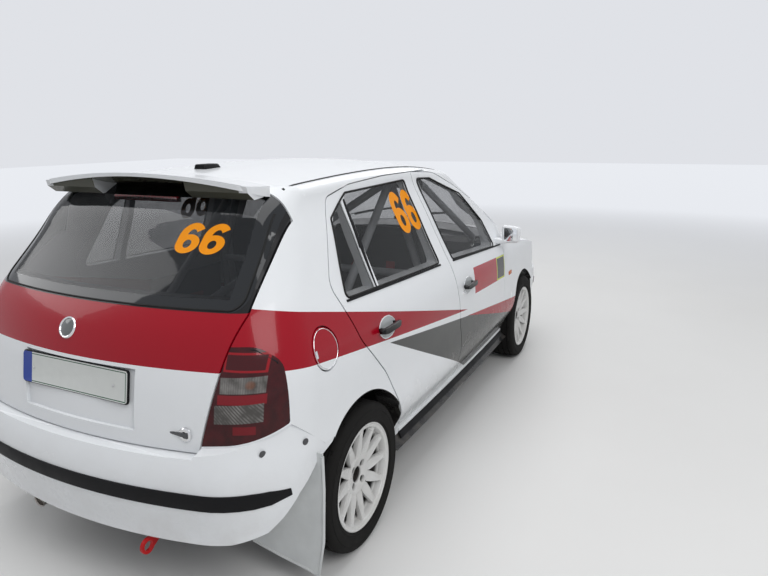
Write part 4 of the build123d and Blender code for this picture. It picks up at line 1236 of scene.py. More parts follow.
def tail_latch():
    """The lock and its small pull beside it, low on the tailgate."""
    x, z = LATCH_AT
    y = skin_point("tailgate", "tail", x, z).y
    cup = spun("tailgate_lock", [
        (0.004, 0.004), (0.01, 0.004), (0.012, 0.008), (0.021, 0.0085), (0.0245, 0.005), (0.025, -0.002),
        (0.004, -0.002), (0.004, 0.004)], 32, "y", at=(x, y, z))
    finish(cup, chrome, "tailgate")
    pull = block("tailgate_pull", (x + 0.004, y + 0.006, z - 0.007), (x + 0.062, y + 0.012, z + 0.007))
    with Editing(pull) as work:
        work.facing("+x")
        work.scale(1, 0.7, 0.55)
        work.facing("-x")
        work.draw_out(-0.018, 0, 0)
        work.scale(1, 1, 1.5)
        work.edges(all_edges)
        work.bevel(0.0018, 2)
    finish(pull, steel_dark, "tailgate")


def bumper_screws():
    heads = []
    for y, z in SCREWS:
        at = skin_point("rear_bumper", "side", y, z)
        head = spun("screw", [(0, 0), (0.006, 0), (0.0105, 0.0012), (0.012, 0.0035), (0.006, 0.005),
                              (0, 0.0055)][::-1], 20, "y")
        out = Vector((at.x, (at.y - 1.2) * 0.6, 0)).normalized()
        aim(head, at - out * 0.001, out, "Y", "Z")
        heads.append(head)
    pair_of(joined("bumper_screws", heads), steel_dark)


def rear_glass_edge():
    """The rear screen's rubber lip, along its sides and foot."""
    low_corner = rounded([(-0.554, 1.37), (-0.592, 1.058), (0.592, 1.058), (0.554, 1.37)], 0.036, 6)[7:21]
    points = on_skin("rear_glass", "tail", [(-0.554, 1.34), *low_corner, (0.554, 1.34)], lift=-0.0005)
    finish(swept("rear_screen_seal", points, 0.0042), rubber_seal, "tailgate", 60)


# A six one unit wide and high: its round bowl and its curved stem
SIX_BOWL = {"middle": (0.5, 0.31), "outer": (0.47, 0.31), "inner": (0.16, 0.135)}
SIX_STEM = {"middle": (0.53, 0.56), "outer": (0.5, 0.44), "inner": (0.19, 0.23)}


def tail_digits():
    """Two plain orange digits on the rear screen."""
    foil_digits(
        "rear_screen_digits", "tail", "rear_glass", (-0.347, 1.263), (0.196, 0.098), "tailgate", slant=-0.2)


def foil_digits(name, facing, target, middle, size, body, slant=0.0, flip=False):
    """A plain 66 of a given width and height, as a thin foil on a surface."""
    side = -1 if facing == "tail" or flip else 1

    def place(digit, u, v):
        across, level = side * ((u + digit) / 2 - 0.5) * size[0], (v - 0.5) * size[1]
        return skin_point(target, facing, middle[0] + across + slant * level, middle[1] + level, 0.0006)

    def arc(digit, shape, edge, angles):
        (u, v), (wide, high) = shape["middle"], shape[edge]
        return [place(digit, u + wide * cos(radians(a)), v + high * sin(radians(a))) for a in angles]

    parts = []
    for digit in (0, 1):
        bowl = [arc(digit, SIX_BOWL, edge, range(0, 361, 12)) for edge in ("inner", "outer")]
        stem = [arc(digit, SIX_STEM, edge, range(180, 34, -8)) for edge in ("inner", "outer")]
        for line, edge in zip(stem, ("inner", "outer")):
            u = SIX_STEM["middle"][0] - SIX_STEM[edge][0]
            line[:0] = [place(digit, u, v) for v in (SIX_BOWL["middle"][1], 0.44)]
        parts += [ribbon("bowl", *bowl, 0.0006), ribbon("stem", *stem, 0.0008)]
    finish(joined(name, parts), foil_orange, body, 30)


def roof_vent():
    """The low box on the middle of the roof, near its rear edge."""
    top = nodes["roof"].ray_cast(Vector((0, 1.14, 2)), Vector((0, 0, -1)))[1].z
    piece = block("roof_box", (-0.033, 1.08, top - 0.008), (0.033, 1.19, top + 0.018))
    with Editing(piece) as work:
        work.facing("+z")
        work.scale(0.82, 0.8, 1)
        work.move(0, 0.008, 0)
        work.edges(lambda e: max(v.co.z for v in e.verts) > top)
        work.bevel(0.006, 3)
        work.facing("+y", 0.8)
        work.inset(0.004, depth=-0.006)
    finish(piece, plastic_black)


def stop_lamp():
    """The narrow high stop lamp inside the top of the rear screen."""
    piece = block("high_stop_lamp", (-0.16, 1.475, 1.372), (0.16, 1.5, 1.392))
    pressed(piece, "+y", 0.003, -0.002)
    soften(piece, 0.002, 2, 40)
    finish(piece, lens_red, "tailgate", 35)


def mud_flap_edges():
    """The curled outer edge and the bolts of each mud flap."""
    y = AXLE_Y["rear"] + 0.327
    path = [(-0.82, y, 0.548), (-0.821, y, 0.42), (-0.812, y, 0.213), (-0.788, y, 0.07), (-0.742, y, 0.083),
            (-0.62, y, 0.104), (-0.502, y, 0.13)]
    pair_of(swept("mud_flap_edge", path, 0.0062, sides=12), flap_plastic, "body", 50)
    bolts = []
    for x in (-0.53, -0.62, -0.71):
        bolts.append(bolt_of("flap_bolt", (x, y, 0.5), (x, y + 0.01, 0.5), 0.008, "+y", 0.002, 0.001))
    pair_of(joined("mud_flap_bolts", bolts), steel_dark, "body", 35)


def tail():
    number_plate()
    lamp_edges()
    bumper_strip("rear", "tail", 0.77, REAR_STRIP, REAR_TAPERS)
    tail_badge()
    tail_latch()
    bumper_screws()
    rear_glass_edge()
    tail_digits()
    roof_vent()
    stop_lamp()
    mud_flap_edges()


# Sides
# Window outlines on the skin: y, height
FRONT_PANE = [(-0.478, 0.93), (-0.432, 1.092), (-0.235, 1.266), (0.11, 1.374), (0.283, 1.384), (0.212, 0.975)]
REAR_PANE = [(0.392, 0.985), (0.436, 1.388), (1.0, 1.374), (1.16, 1.292), (1.268, 1.014)]
PANE_CORNER = 0.018
# How far each belt strip's two ends lie from the pane's lower corners
BELT_ENDS = {"front": ((-0.14, -0.013), (0.004, -0.009)), "rear": ((-0.01, -0.01), (0.006, -0.009))}
DIVIDER = [(1.036, 1.004), (1.062, 1.004), (1.03, 1.352), (1.0, 1.362)]
# Door handles: door, middle y and height of the grip
HANDLES = [("front", 0.08, 0.813), ("rear", 1.052, 0.85)]
FLAP_MIDDLE = (1.49, 0.89)
SILL_NODES = ["side_frame_right", "fenders"]
SILL_Y = (-0.8, 0.86)
# Strips along the sills: name, look, height and lift of the low and the high edge, thickness, bevel steps
SILL_STRIPS = [("sill_band", plastic_black, (0.256, 0.002), (0.286, 0.002), 0.01, 2),
               ("sill_lip", paint_white, (0.29, 0.003), (0.306, 0.001), 0.008, 3)]
ROOF_DITCH_X = 0.528
ROOF_DITCH_Y = (-0.12, 1.35)


def oval(middle, wide, high, count):
    """Points round an ellipse."""
    return [(middle[0] + wide * cos(2 * pi * n / count), middle[1] + high * sin(2 * pi * n / count))
            for n in range(count)]


def grown(outline, by):
    """A convex outline moved outwards from its middle."""
    middle = middle_of(outline)
    return [tuple(Vector(p) + (Vector(p) - middle).normalized() * by) for p in outline]


def window_seals():
    """Black rubber round each door window, and a flat strip along its foot."""
    for end, pane in (("front", FRONT_PANE), ("rear", REAR_PANE)):
        line = rounded(grown(pane, 0.004), PANE_CORNER)
        points = on_skin([f"door_{end}_right", f"glass_{end}_right"], "side", [*line, line[0]], step=0.05,
                         lift=0.0008)[:-1]
        seal = swept(f"window_seal_{end}", points, 0.0046, closed=True)
        pair_of(seal, rubber_seal, f"{end}_door_right", 60)
        foot = [(at[0] + a, at[1] + b) for at, (a, b) in zip((pane[0], pane[-1]), BELT_ENDS[end])]
        door = f"door_{end}_right"
        edges = [
            on_skin(door, "side", [(y, z + by) for y, z in foot], lift=0.001) for by in (-0.0055, 0.0035)]
        strip = ribbon(f"belt_strip_{end}", *edges, 0.006)
        soften(strip, 0.0015, 2, 50)
        pair_of(strip, plastic_black, f"{end}_door_right")


def window_divider():
    piece = patch("window_divider", DIVIDER, "side", "door_rear_right", 0.006, 0.02, 0.0005)
    soften(piece, 0.0015, 2, 50)
    pair_of(piece, plastic_black, "rear_door_right")


def door_handles():
    """A black pull bar on two feet over a pale round dish."""
    for end, y, z in HANDLES:
        door = f"door_{end}_right"
        at = skin_point(door, "side", y, z)
        ring = oval((y - 0.004, z - 0.004), 0.068, 0.043, 28)
        dish = patch(f"handle_dish_{end}", ring, "side", door, 0.0022, 0.012)
        pair_of(dish, dish_paint, f"{end}_door_right", 50)
        lip = swept(f"handle_dish_lip_{end}", on_skin(door, "side", [*ring, ring[0]], lift=0.0)[:-1], 0.0026,
                    closed=True)
        pair_of(lip, paint_white, f"{end}_door_right", 60)
        grip = block(
            f"door_handle_{end}", (at.x - 0.036, y - 0.05, z - 0.0125), (at.x - 0.02, y + 0.05, z + 0.0125))
        with Editing(grip) as work:
            for side in (-1, 1):
                work.faces(lambda f: f.normal.y * side > 0.9)
                work.draw_out(0.004, side * 0.022, 0)
                work.scale(1, 1, 0.82)
                work.draw_out(0.007, side * 0.016, 0)
                work.scale(0.8, 1, 0.62)
            for side in (-1, 1):
                work.faces(lambda f: f.normal.x > 0.5 and 0.07 > side * (f.calc_center_median().y - y) > 0.05)
                work.inset(0.003)
                work.draw_out(0.024, 0, 0)
            work.facing("-x")
            work.inset(0.004, depth=-0.0012)
        soften(grip, 0.0028, 3, 30)
        pair_of(grip, plastic_gloss, f"{end}_door_right", 50)
        if end == "rear":
            continue
        lock = spun(f"door_lock_{end}", [(0, 0), (0, 0.0055), (0.0016, 0.0105), (0.0045, 0.0112)], 24)
        put_at(lock, skin_point(door, "side", y + 0.075, z - 0.036, 0.0015))
        pair_of(lock, chrome, f"{end}_door_right")


def flap_ring():
    """The thin bright ring of the fuel flap and its finger notch."""
    y, z = FLAP_MIDDLE
    ring = oval(FLAP_MIDDLE, 0.068, 0.068, 48)
    piece = swept("fuel_flap_ring", on_skin("fuel_flap", "side", [*ring, ring[0]], step=1, lift=0.0005)[:-1],
                  0.0014, closed=True)
    finish(piece, chrome, "fuel_flap", 60)
    outline = oval((y + 0.06, z - 0.004), 0.0055, 0.013, 24)
    notch = patch("fuel_flap_notch", outline, "side", "fuel_flap", 0.004, 0.003)
    soften(notch, 0.0009, 2, 50)
    finish(notch, chrome, "fuel_flap")


def roof_ditches():
    """Black mouldings in the seams between the roof and the sides."""
    nodes_below = ["roof", "side_frame_right", "windscreen", "spoiler"]
    edges = [
        on_skin(nodes_below, "top", [(x, y) for y in ROOF_DITCH_Y], 0.07, 0.0004)
        for x in (-ROOF_DITCH_X - 0.005, -ROOF_DITCH_X + 0.005)]
    piece = ribbon("roof_moulding", *edges, 0.004)
    soften(piece, 0.0012, 2, 50)
    pair_of(piece, rubber_seal, "body", 50)


def sill_covers():
    """A black band along each sill, and a raised white lip above it."""
    for name, look, low, high, thickness, steps in SILL_STRIPS:
        edges = [on_skin(SILL_NODES, "side", [(y, z) for y in SILL_Y], 0.05, lift) for z, lift in (low, high)]
        strip = ribbon(name, *edges, thickness)
        soften(strip, 0.003, steps, 50)
        pair_of(strip, look)


def side_digits():
    """The same digits on both rear door windows."""
    for hand, facing in (("right", "side"), ("left", "far_side")):
        foil_digits(f"rear_door_digits_{hand}", facing, [f"glass_rear_{hand}", f"door_rear_{hand}"],
                    (0.522, 1.25), (0.24, 0.19), f"rear_door_{hand}", slant=0.12, flip=hand == "right")


def wing_mirrors():
    """Shaped housings with a recessed glass, on a short foot."""
    shell = block("mirror_housing", (-0.926, -0.622, 0.934), (-0.812, -0.536, 1.052))
    with Editing(shell) as work:
        work.facing("-y")
        work.scale(0.88, 1, 0.84)
        work.move(0.006, 0, 0)
        work.draw_out(0.004, -0.022, -0.004)
        work.scale(0.62, 1, 0.55)
        work.facing("-x")
        work.scale(1, 0.85, 0.86)
        work.edges(all_edges)
        work.bevel(0.017, 4)
        work.facing("+y", 0.95)
        work.inset(0.004)
        work.inset(0.002, depth=-0.008)
    shell = joined("mirror_housing", [shell, mirror_foot()])
    for hand, side in (("right", Matrix.Identity(4)), ("left", MIRROR)):
        made = copy_of(shell, f"mirror_housing_{hand}", side)
        finish(made, paint_white, f"front_door_{hand}")
        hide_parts(f"mirror_{hand}")
    bpy.data.objects.remove(shell)
    glass = thin_plate(
        "mirror_glass", (-0.91, -0.546, 0.95), (-0.826, -0.5425, 1.036), "+y", 0.014, 0.002, 0.0008)
    pair_of(glass, mirror_silver, "front_door_right")


def mirror_foot():
    foot = block("foot", (-0.845, -0.592, 0.938), (-0.77, -0.54, 0.962))
    with Editing(foot) as work:
        work.facing("+x")
        work.scale(1, 1.25, 1.3)
        work.edges(all_edges)
        work.bevel(0.006, 3)
    return foot


def side_repeaters():
    """Small repeater lamps on the front wings."""
    outline = rounded([(-0.835, 0.688), (-0.765, 0.688), (-0.77, 0.712), (-0.83, 0.712)], 0.008)
    piece = patch("side_repeater", outline, "side", "fenders", 0.01, 0.01)
    soften(piece, 0.003, 2, 50)
    pair_of(piece, bulb_orange)


def sides():
    window_seals()
    window_divider()
    door_handles()
    flap_ring()
    roof_ditches()
    sill_covers()
    side_digits()
    wing_mirrors()
    side_repeaters()


# Nose
FRONT_STRIP = (0.452, 0.498)
FOG_AT = (0.585, 0.385)
LAMP_OUTLINE = [
    (-0.398, 0.606), (-0.69, 0.606), (-0.744, 0.645), (-0.728, 0.69), (-0.64, 0.707), (-0.398, 0.704)]
# Headlamp reflectors: x, height and radius
HEAD_ROUNDS = [(0.475, 0.655, 0.04), (0.585, 0.658, 0.044)]
PIN_AT = (0.47, -1.64)
# Wipers: x and y of the foot and of the tip
WIPERS = [((0.1, -0.955), (-0.42, -0.72)), ((0.5, -0.86), (0.02, -0.76))]


def headlamp_parts():
    """A clear face on each headlamp, and round reflectors with a bulb behind it."""
    outline = rounded(LAMP_OUTLINE, 0.01)
    face = patch("headlamp_glass", outline, "nose", "headlamps", 0.004, 0.02, 0.001)
    soften(face, 0.0012, 2, 50)
    pair_of(face, lens_clear_front)
    for n, (x, z, r) in enumerate(HEAD_ROUNDS):
        at = skin_point("headlamps", "nose", -x, z, 0.0025)
        bowl = spun(f"headlamp_reflector_{n}", [
            (0, -0.001), (r * 0.3, -0.0008), (r * 0.34, -0.0035), (r * 0.8, -0.002), (r, -0.0042),
            (r * 1.06, -0.0035), (r * 1.08, 0.004), (0, 0.004)][::-1], 48, "y")
        put_at(bowl, at, slope_at("headlamps", -x, z))
        pair_of(bowl, chrome, "body", 30)


def nose_grille():
    """A frame round the grille, a mesh in the lower intake and a plain badge on the bonnet's lip."""
    outline = rounded([(-0.368, 0.608), (0.368, 0.608), (0.368, 0.702), (-0.368, 0.702)], 0.016)
    points = [
        skin_point(["grille", "front_bumper", "bonnet", "fenders"], "nose", x, z, 0.002) for x, z in outline]
    finish(swept("grille_frame", points, 0.0065, closed=True, sides=12), plastic_gloss, "body", 60)
    bars = []
    for n in range(17):
        x = -0.384 + 0.048 * n
        y = -1.925 + x * x * 0.34
        bars.append(rod("bar", (x, y, 0.306), (x, y + 0.004, 0.434), 0.0022, 8))
    for n in range(5):
        z = 0.322 + 0.026 * n
        path = [(x / 10, -1.921 + (x / 10) ** 2 * 0.34, z) for x in range(-4, 5)]
        bars.append(swept("bar", path, 0.0022, sides=8))
    finish(joined("intake_mesh", bars), plastic_black)
    ring = rounded([(-0.412, 0.298), (0.412, 0.298), (0.412, 0.442), (-0.412, 0.442)], 0.01)
    points = on_skin("front_bumper", "nose", [*ring, ring[0]], 0.06, 0.001)[:-1]
    finish(swept("intake_frame", points, 0.0055, closed=True, sides=12), plastic_black, "body", 60)
    at = skin_point("bonnet", "nose", 0, 0.755)
    badge = spun("nose_badge", [
        (0, -0.004), (0.016, -0.0034), (0.027, -0.0012), (0.029, -0.003), (0.033, -0.0028), (0.035, 0.003),
        (0, 0.003)], 36, "y")
    put_at(badge, at, radians(-38), "X")
    finish(badge, chrome, "bonnet")


def slope_at(node, x, z):
    """The turn of a front face about the upright axis, at a place on the nose."""
    rise = skin_point(node, "nose", x + 0.02, z).y - skin_point(node, "nose", x - 0.02, z).y
    return atan2(rise, 0.04)


def nose_bumper():
    """The front strip, a fog lamp in its ring on each side and a blank number plate."""
    bumper_strip("front", "nose", 0.78, FRONT_STRIP, {})
    at = skin_point("front_bumper", "nose", -FOG_AT[0], FOG_AT[1], 0.002)
    turn = slope_at("front_bumper", -FOG_AT[0], FOG_AT[1])
    lens = spun(
        "fog_lamp", [(0, -0.007), (0.02, -0.006), (0.038, -0.003), (0.042, 0.002), (0, 0.003)], 36, "y")
    ring = spun("fog_lamp_ring", [
        (0.042, 0.004), (0.043, -0.006), (0.048, -0.009), (0.056, -0.006), (0.06, 0.004), (0.042, 0.004)],
        36, "y")
    for piece, look in ((lens, lens_clear_front), (ring, plastic_black)):
        put_at(piece, at, turn)
        pair_of(piece, look, "body", 35)
    plate_y = skin_point("front_bumper", "nose", 0, 0.535).y
    plate = thin_plate("front_number_plate", (-0.26, plate_y - 0.012, 0.5), (0.26, plate_y - 0.005, 0.61),
                       "-y", 0.01, 0.0045, -0.0012)
    finish(plate, plate_plain, "body", 30)


def bonnet_pins():
    """Sprung pins through round plates, one at each front corner of the bonnet."""
    at = skin_point("bonnet", "top", -PIN_AT[0], PIN_AT[1])
    plate = spun("bonnet_pin", [
        (0, 0.0125), (0.0035, 0.012), (0.0042, 0.01), (0.0042, 0.0022), (0.021, 0.002), (0.0235, 0.0006),
        (0.0235, -0.002), (0, -0.002)], 28, "z")
    clip = torus("clip", (0.008, 0, 0.006), (radians(90), 0, 0), 0.0075, 0.0011, 28, 8)
    pin = joined("bonnet_pin", [plate, clip])
    put_at(pin, at, radians(18), "X")
    pair_of(pin, steel_bright, "bonnet")


def wipers():
    """Two arms with a jointed foot and a rubber blade, parked along the foot of the windscreen."""
    for n, (foot, tip) in enumerate(WIPERS):
        up = [
            skin_point(["windscreen", "bulkhead", "bonnet", "fenders", "side_frame_left"], "top",
                       foot[0] + (tip[0] - foot[0]) * k / 8, foot[1] + (tip[1] - foot[1]) * k / 8, 0.01)
            for k in range(9)]
        base = skin_point(["bulkhead", "bonnet", "windscreen", "fenders"], "top", *foot)
        arm = ribbon("arm", [p + Vector((0, -0.006, 0.006)) for p in up[:7]],
                     [p + Vector((0, 0.006, 0.006)) for p in up[:7]], 0.005)
        cap = rod("cap", base - Vector((0, 0, 0.005)), base + Vector((0, 0, 0.022)), 0.014, 20)
        with Editing(cap) as work:
            work.facing("+z")
            work.inset(0.003)
            work.draw_out(0, 0, 0.004)
        blade_line = up[2:]
        blade = ribbon("blade", [p + Vector((0, -0.002, -0.008)) for p in blade_line],
                       [p + Vector((0, -0.001, 0.006)) for p in blade_line], 0.005)
        piece = joined(f"wiper_{n}", [arm, cap, blade])
        soften(piece, 0.001, 1, 50)
        finish(piece, plastic_black)


def cowl_grille():
    """A ribbed black cover in front of the windscreen."""
    front, rear = [], []
    for n in range(25):
        x = -0.58 + 1.16 * n / 24
        bow = 0.115 * (x / 0.6) ** 2
        front.append(skin_point(["bulkhead", "bonnet"], "top", x, -0.975 + bow, 0.002))
        rear.append(skin_point(["bulkhead", "windscreen"], "top", x, -0.935 + bow, 0.002))
    cover = ribbon("cowl_grille", front, rear, 0.006)
    with Editing(cover) as work:
        work.facing("+z", 0.6)
        work.inset(0.006, depth=-0.003, single=True)
    soften(cover, 0.001, 1, 50)
    finish(cover, plastic_black)


def nose():
    headlamp_parts()
    nose_grille()
    nose_bumper()
    bonnet_pins()
    wipers()
    cowl_grille()


# Cabin
SEAT_X = 0.355
# The seat's side, its back and its pan, as y and height
SEAT_SIDE = [
    (-0.262, 0.3), (-0.272, 0.44), (-0.25, 0.52), (-0.05, 0.5), (0.09, 0.56), (0.135, 0.76), (0.18, 1.02),
    (0.215, 1.115), (0.262, 1.128), (0.3, 1.09), (0.29, 0.88), (0.24, 0.56), (0.2, 0.33), (0.12, 0.285)]
SEAT_BACK = [(0.114, 0.285), (0.194, 0.33), (0.234, 0.56), (0.284, 0.88), (0.294, 1.09), (0.256, 1.128)]
SEAT_PAN = [(-0.262, 0.31), (-0.1, 0.292), (0.125, 0.29)]
# Pads on the back: name, place and half width, y range, height range, height that they lean about
BACK_PADS = [("seat_back_pad", 0, 0.2, (0.06, 0.135), (0.44, 0.88), 0.44),
             ("seat_head_pad", 0, 0.13, (0.1, 0.165), (0.9, 1.09), 0.6),
             ("seat_wing_pad", -0.208, 0.024, (-0.02, 0.13), (0.5, 0.85), 0.5),
             ("seat_wing_pad", 0.208, 0.024, (-0.02, 0.13), (0.5, 0.85), 0.5)]
SEAT_LEAN = radians(-10)
# The harness: shoulder straps as y and height with their spread from the middle, and the lap straps
STRAP_LINE = [
    (0.33, 0.9), (0.262, 0.985), (0.165, 0.93), (0.09, 0.8), (0.045, 0.64), (0.0, 0.52), (-0.04, 0.452)]
STRAP_SPREAD = [0.11, 0.085, 0.085, 0.085, 0.075, 0.05, 0.022]
LAP_LINE = [(0.228, 0.09, 0.43), (0.18, 0.04, 0.47), (0.09, -0.01, 0.478), (0.02, -0.035, 0.456)]
PAD_STEP = 0.07
CROWN_SHARE = 0.36
CROWN_LIFT = 0.016
STEER_AT = (0.36, -0.395, 0.8)
STEER_LEAN = radians(24)
STEER_R = 0.172
# Dials: x and radius
DIALS = [(0.3, 0.036), (0.375, 0.026), (0.435, 0.03)]
DIAL_Y, DIAL_Z = -0.515, 0.934
TOGGLE_COLUMNS = 5
TOGGLE_FIRST = (-0.08, 0.862)
TOGGLE_PITCH = (0.04, -0.052)
GEAR_LINE = [(0.02, -0.3, 0.255), (0.02, -0.285, 0.42), (0.03, -0.268, 0.56), (0.035, -0.262, 0.6)]
BRAKE_LINE = [(0.085, -0.15, 0.255), (0.085, -0.165, 0.4), (0.087, -0.19, 0.55)]
# Pedals: x and width
PEDALS = [(0.27, 0.045), (0.36, 0.05), (0.44, 0.04)]
BOTTLE_AT = (-0.205, -0.36, 0.318)
BOTTLE_BANDS_X = (-0.27, -0.4)


def cushion(name, low, high, crown, lean=0.0, about=(0, 0, 0)):
    """A padded block with round corners and a crowned face with a sewn channel."""
    piece = block(name, low, high)
    size = Vector(high) - Vector(low)
    with Editing(piece) as work:
        for axis, normal in enumerate(AXES.values()):
            count = max(1, round(size[axis] / PAD_STEP))
            for n in range(1, count):
                at = list(low)
                at[axis] += size[axis] * n / count
                work.everything()
                bpy.ops.mesh.bisect(plane_co=at, plane_no=normal)
        middle = (Vector(low) + Vector(high)) / 2
        sign = 1 if crown == 2 else -1
        across = [n for n in (0, 1, 2) if n != crown]
        work.faces(lambda f: f.normal[crown] * sign > 0.9 and
                   all(abs(f.calc_center_median()[n] - middle[n]) < size[n] * CROWN_SHARE for n in across))
        lift = [0, 0, 0]
        lift[crown] = sign * CROWN_LIFT
        work.inset(0.01)
        work.move(*lift)
    modified(piece, "SUBSURF", levels=2, render_levels=2)
    if lean:
        piece.data.transform(turn_about(about, lean, "X"))
    return piece


def seats():
    """Bucket seats: a hard shell, a cushion, back, head and wing pads, and a harness of four straps."""
    for hand, side in (("left", 1), ("right", -1)):
        x = side * SEAT_X
        walls = [
            sheet_of("wall", [(x + edge * 0.246, y, z) for y, z in SEAT_SIDE], (-edge * 0.016, 0, 0))
            for edge in (-1, 1)]
        back, pan = (ribbon("sheet", *[[(x + edge * 0.24, y, z) for y, z in line] for edge in (-1, 1)], 0.01)
                     for line in (SEAT_BACK, SEAT_PAN))
        shell = joined(f"seat_shell_{hand}", [*walls, back, pan])
        soften(shell, 0.005, 3, 40)
        finish(shell, seat_shell_look)
        if hand == "left":
            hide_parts("seats")
        pads = [cushion(f"seat_cushion_{hand}", (x - 0.205, -0.235, 0.335), (x + 0.205, 0.11, 0.43), 2)]
        for name, at, half, ys, zs, foot in BACK_PADS:
            if at:
                name += "_outer" if at * side > 0 else "_inner"
            low, high = zip((x + at - half, x + at + half), ys, zs)
            pads.append(cushion(f"{name}_{hand}", low, high, 1, SEAT_LEAN, (x, 0.13, foot)))
        for pad in pads:
            finish(pad, seat_cloth, "body", 60)
        straps = []
        for edge in (-1, 1):
            low, high = ([(x + edge * (d + by), y, z) for (y, z), d in zip(STRAP_LINE, STRAP_SPREAD)]
                         for by in (-0.025, 0.025))
            straps.append(ribbon("strap", low, high, 0.004))
            lap = [(x + edge * a, y, z) for a, y, z in LAP_LINE]
            straps.append(ribbon("lap", lap, [(a, b - 0.03, c + 0.034) for a, b, c in lap], 0.004))
        buckle = rod("buckle", (x, -0.058, 0.452), (x, -0.08, 0.474), 0.03, 28)
        with Editing(buckle) as work:
            work.faces(lambda f: f.normal.y < -0.5 and f.calc_area() > 0.001)
            work.inset(0.006, depth=0.004)
        finish(joined(f"harness_{hand}", straps), strap_red)
        finish(buckle, steel_bright)
        buckle.name = f"harness_buckle_{hand}"


def steering():
    """A dished rally wheel: thick suede rim, three drilled spokes, a hub with a ring of screws."""
    rim = torus("steering_rim", (0, 0, 0), (0, 0, 0), STEER_R, 0.0145, 72, 14)
    with Editing(rim) as work:
        work.everything()
        work.scale(1, 1, 1.12)
    spokes = []
    for turn in (0, 180, 270):
        spoke = block("spoke", (0.03, -0.017, -0.003), (STEER_R - 0.006, 0.017, 0.001))
        with Editing(spoke) as work:
            work.facing("+x")
            work.scale(1, 1.35, 1)
            work.facing("+z")
            work.inset(0.004, depth=-0.0008)
        for r in (0.07, 0.098, 0.126):
            cut(spoke, rod("hole", (r, 0, -0.02), (r, 0, 0.02), 0.0085, 18))
        spoke.data.transform(Matrix.Rotation(radians(turn), 4, "Z"))
        spokes.append(spoke)
    hub = spun("hub", [
        (0, 0.022), (0.016, 0.021), (0.019, 0.012), (0.034, 0.01), (0.037, 0.006), (0.037, -0.02),
        (0, -0.02)], 36, "z")
    screws = [
        ball("screw", (0.028 * cos(pi * n / 3), 0.028 * sin(pi * n / 3), 0.01), 0.0034, (1, 1, 0.6), 10, 6)
        for n in range(6)]
    mark = block("mark", (-0.012, STEER_R - 0.0155, -0.015), (0.012, STEER_R + 0.0155, 0.015))
    with Editing(mark) as work:
        work.edges_along("x", 0.01)
        work.bevel(0.011, 4)
    metal = joined("steering_spokes", [*spokes, hub, *screws])
    soften(metal, 0.0006, 1, 40)
    axis = Vector((0, cos(STEER_LEAN), sin(STEER_LEAN)))
    across = Vector((1, 0, 0))
    turn = Matrix((across, axis.cross(across), axis)).transposed().to_4x4()
    for piece, look in ((rim, suede_black), (metal, steel_dark), (mark, strap_red)):
        piece.data.transform(Matrix.Translation(STEER_AT) @ turn)
        finish(piece, look, "steering_wheel")
    mark.name = "steering_mark"
    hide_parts("steering_wheel")


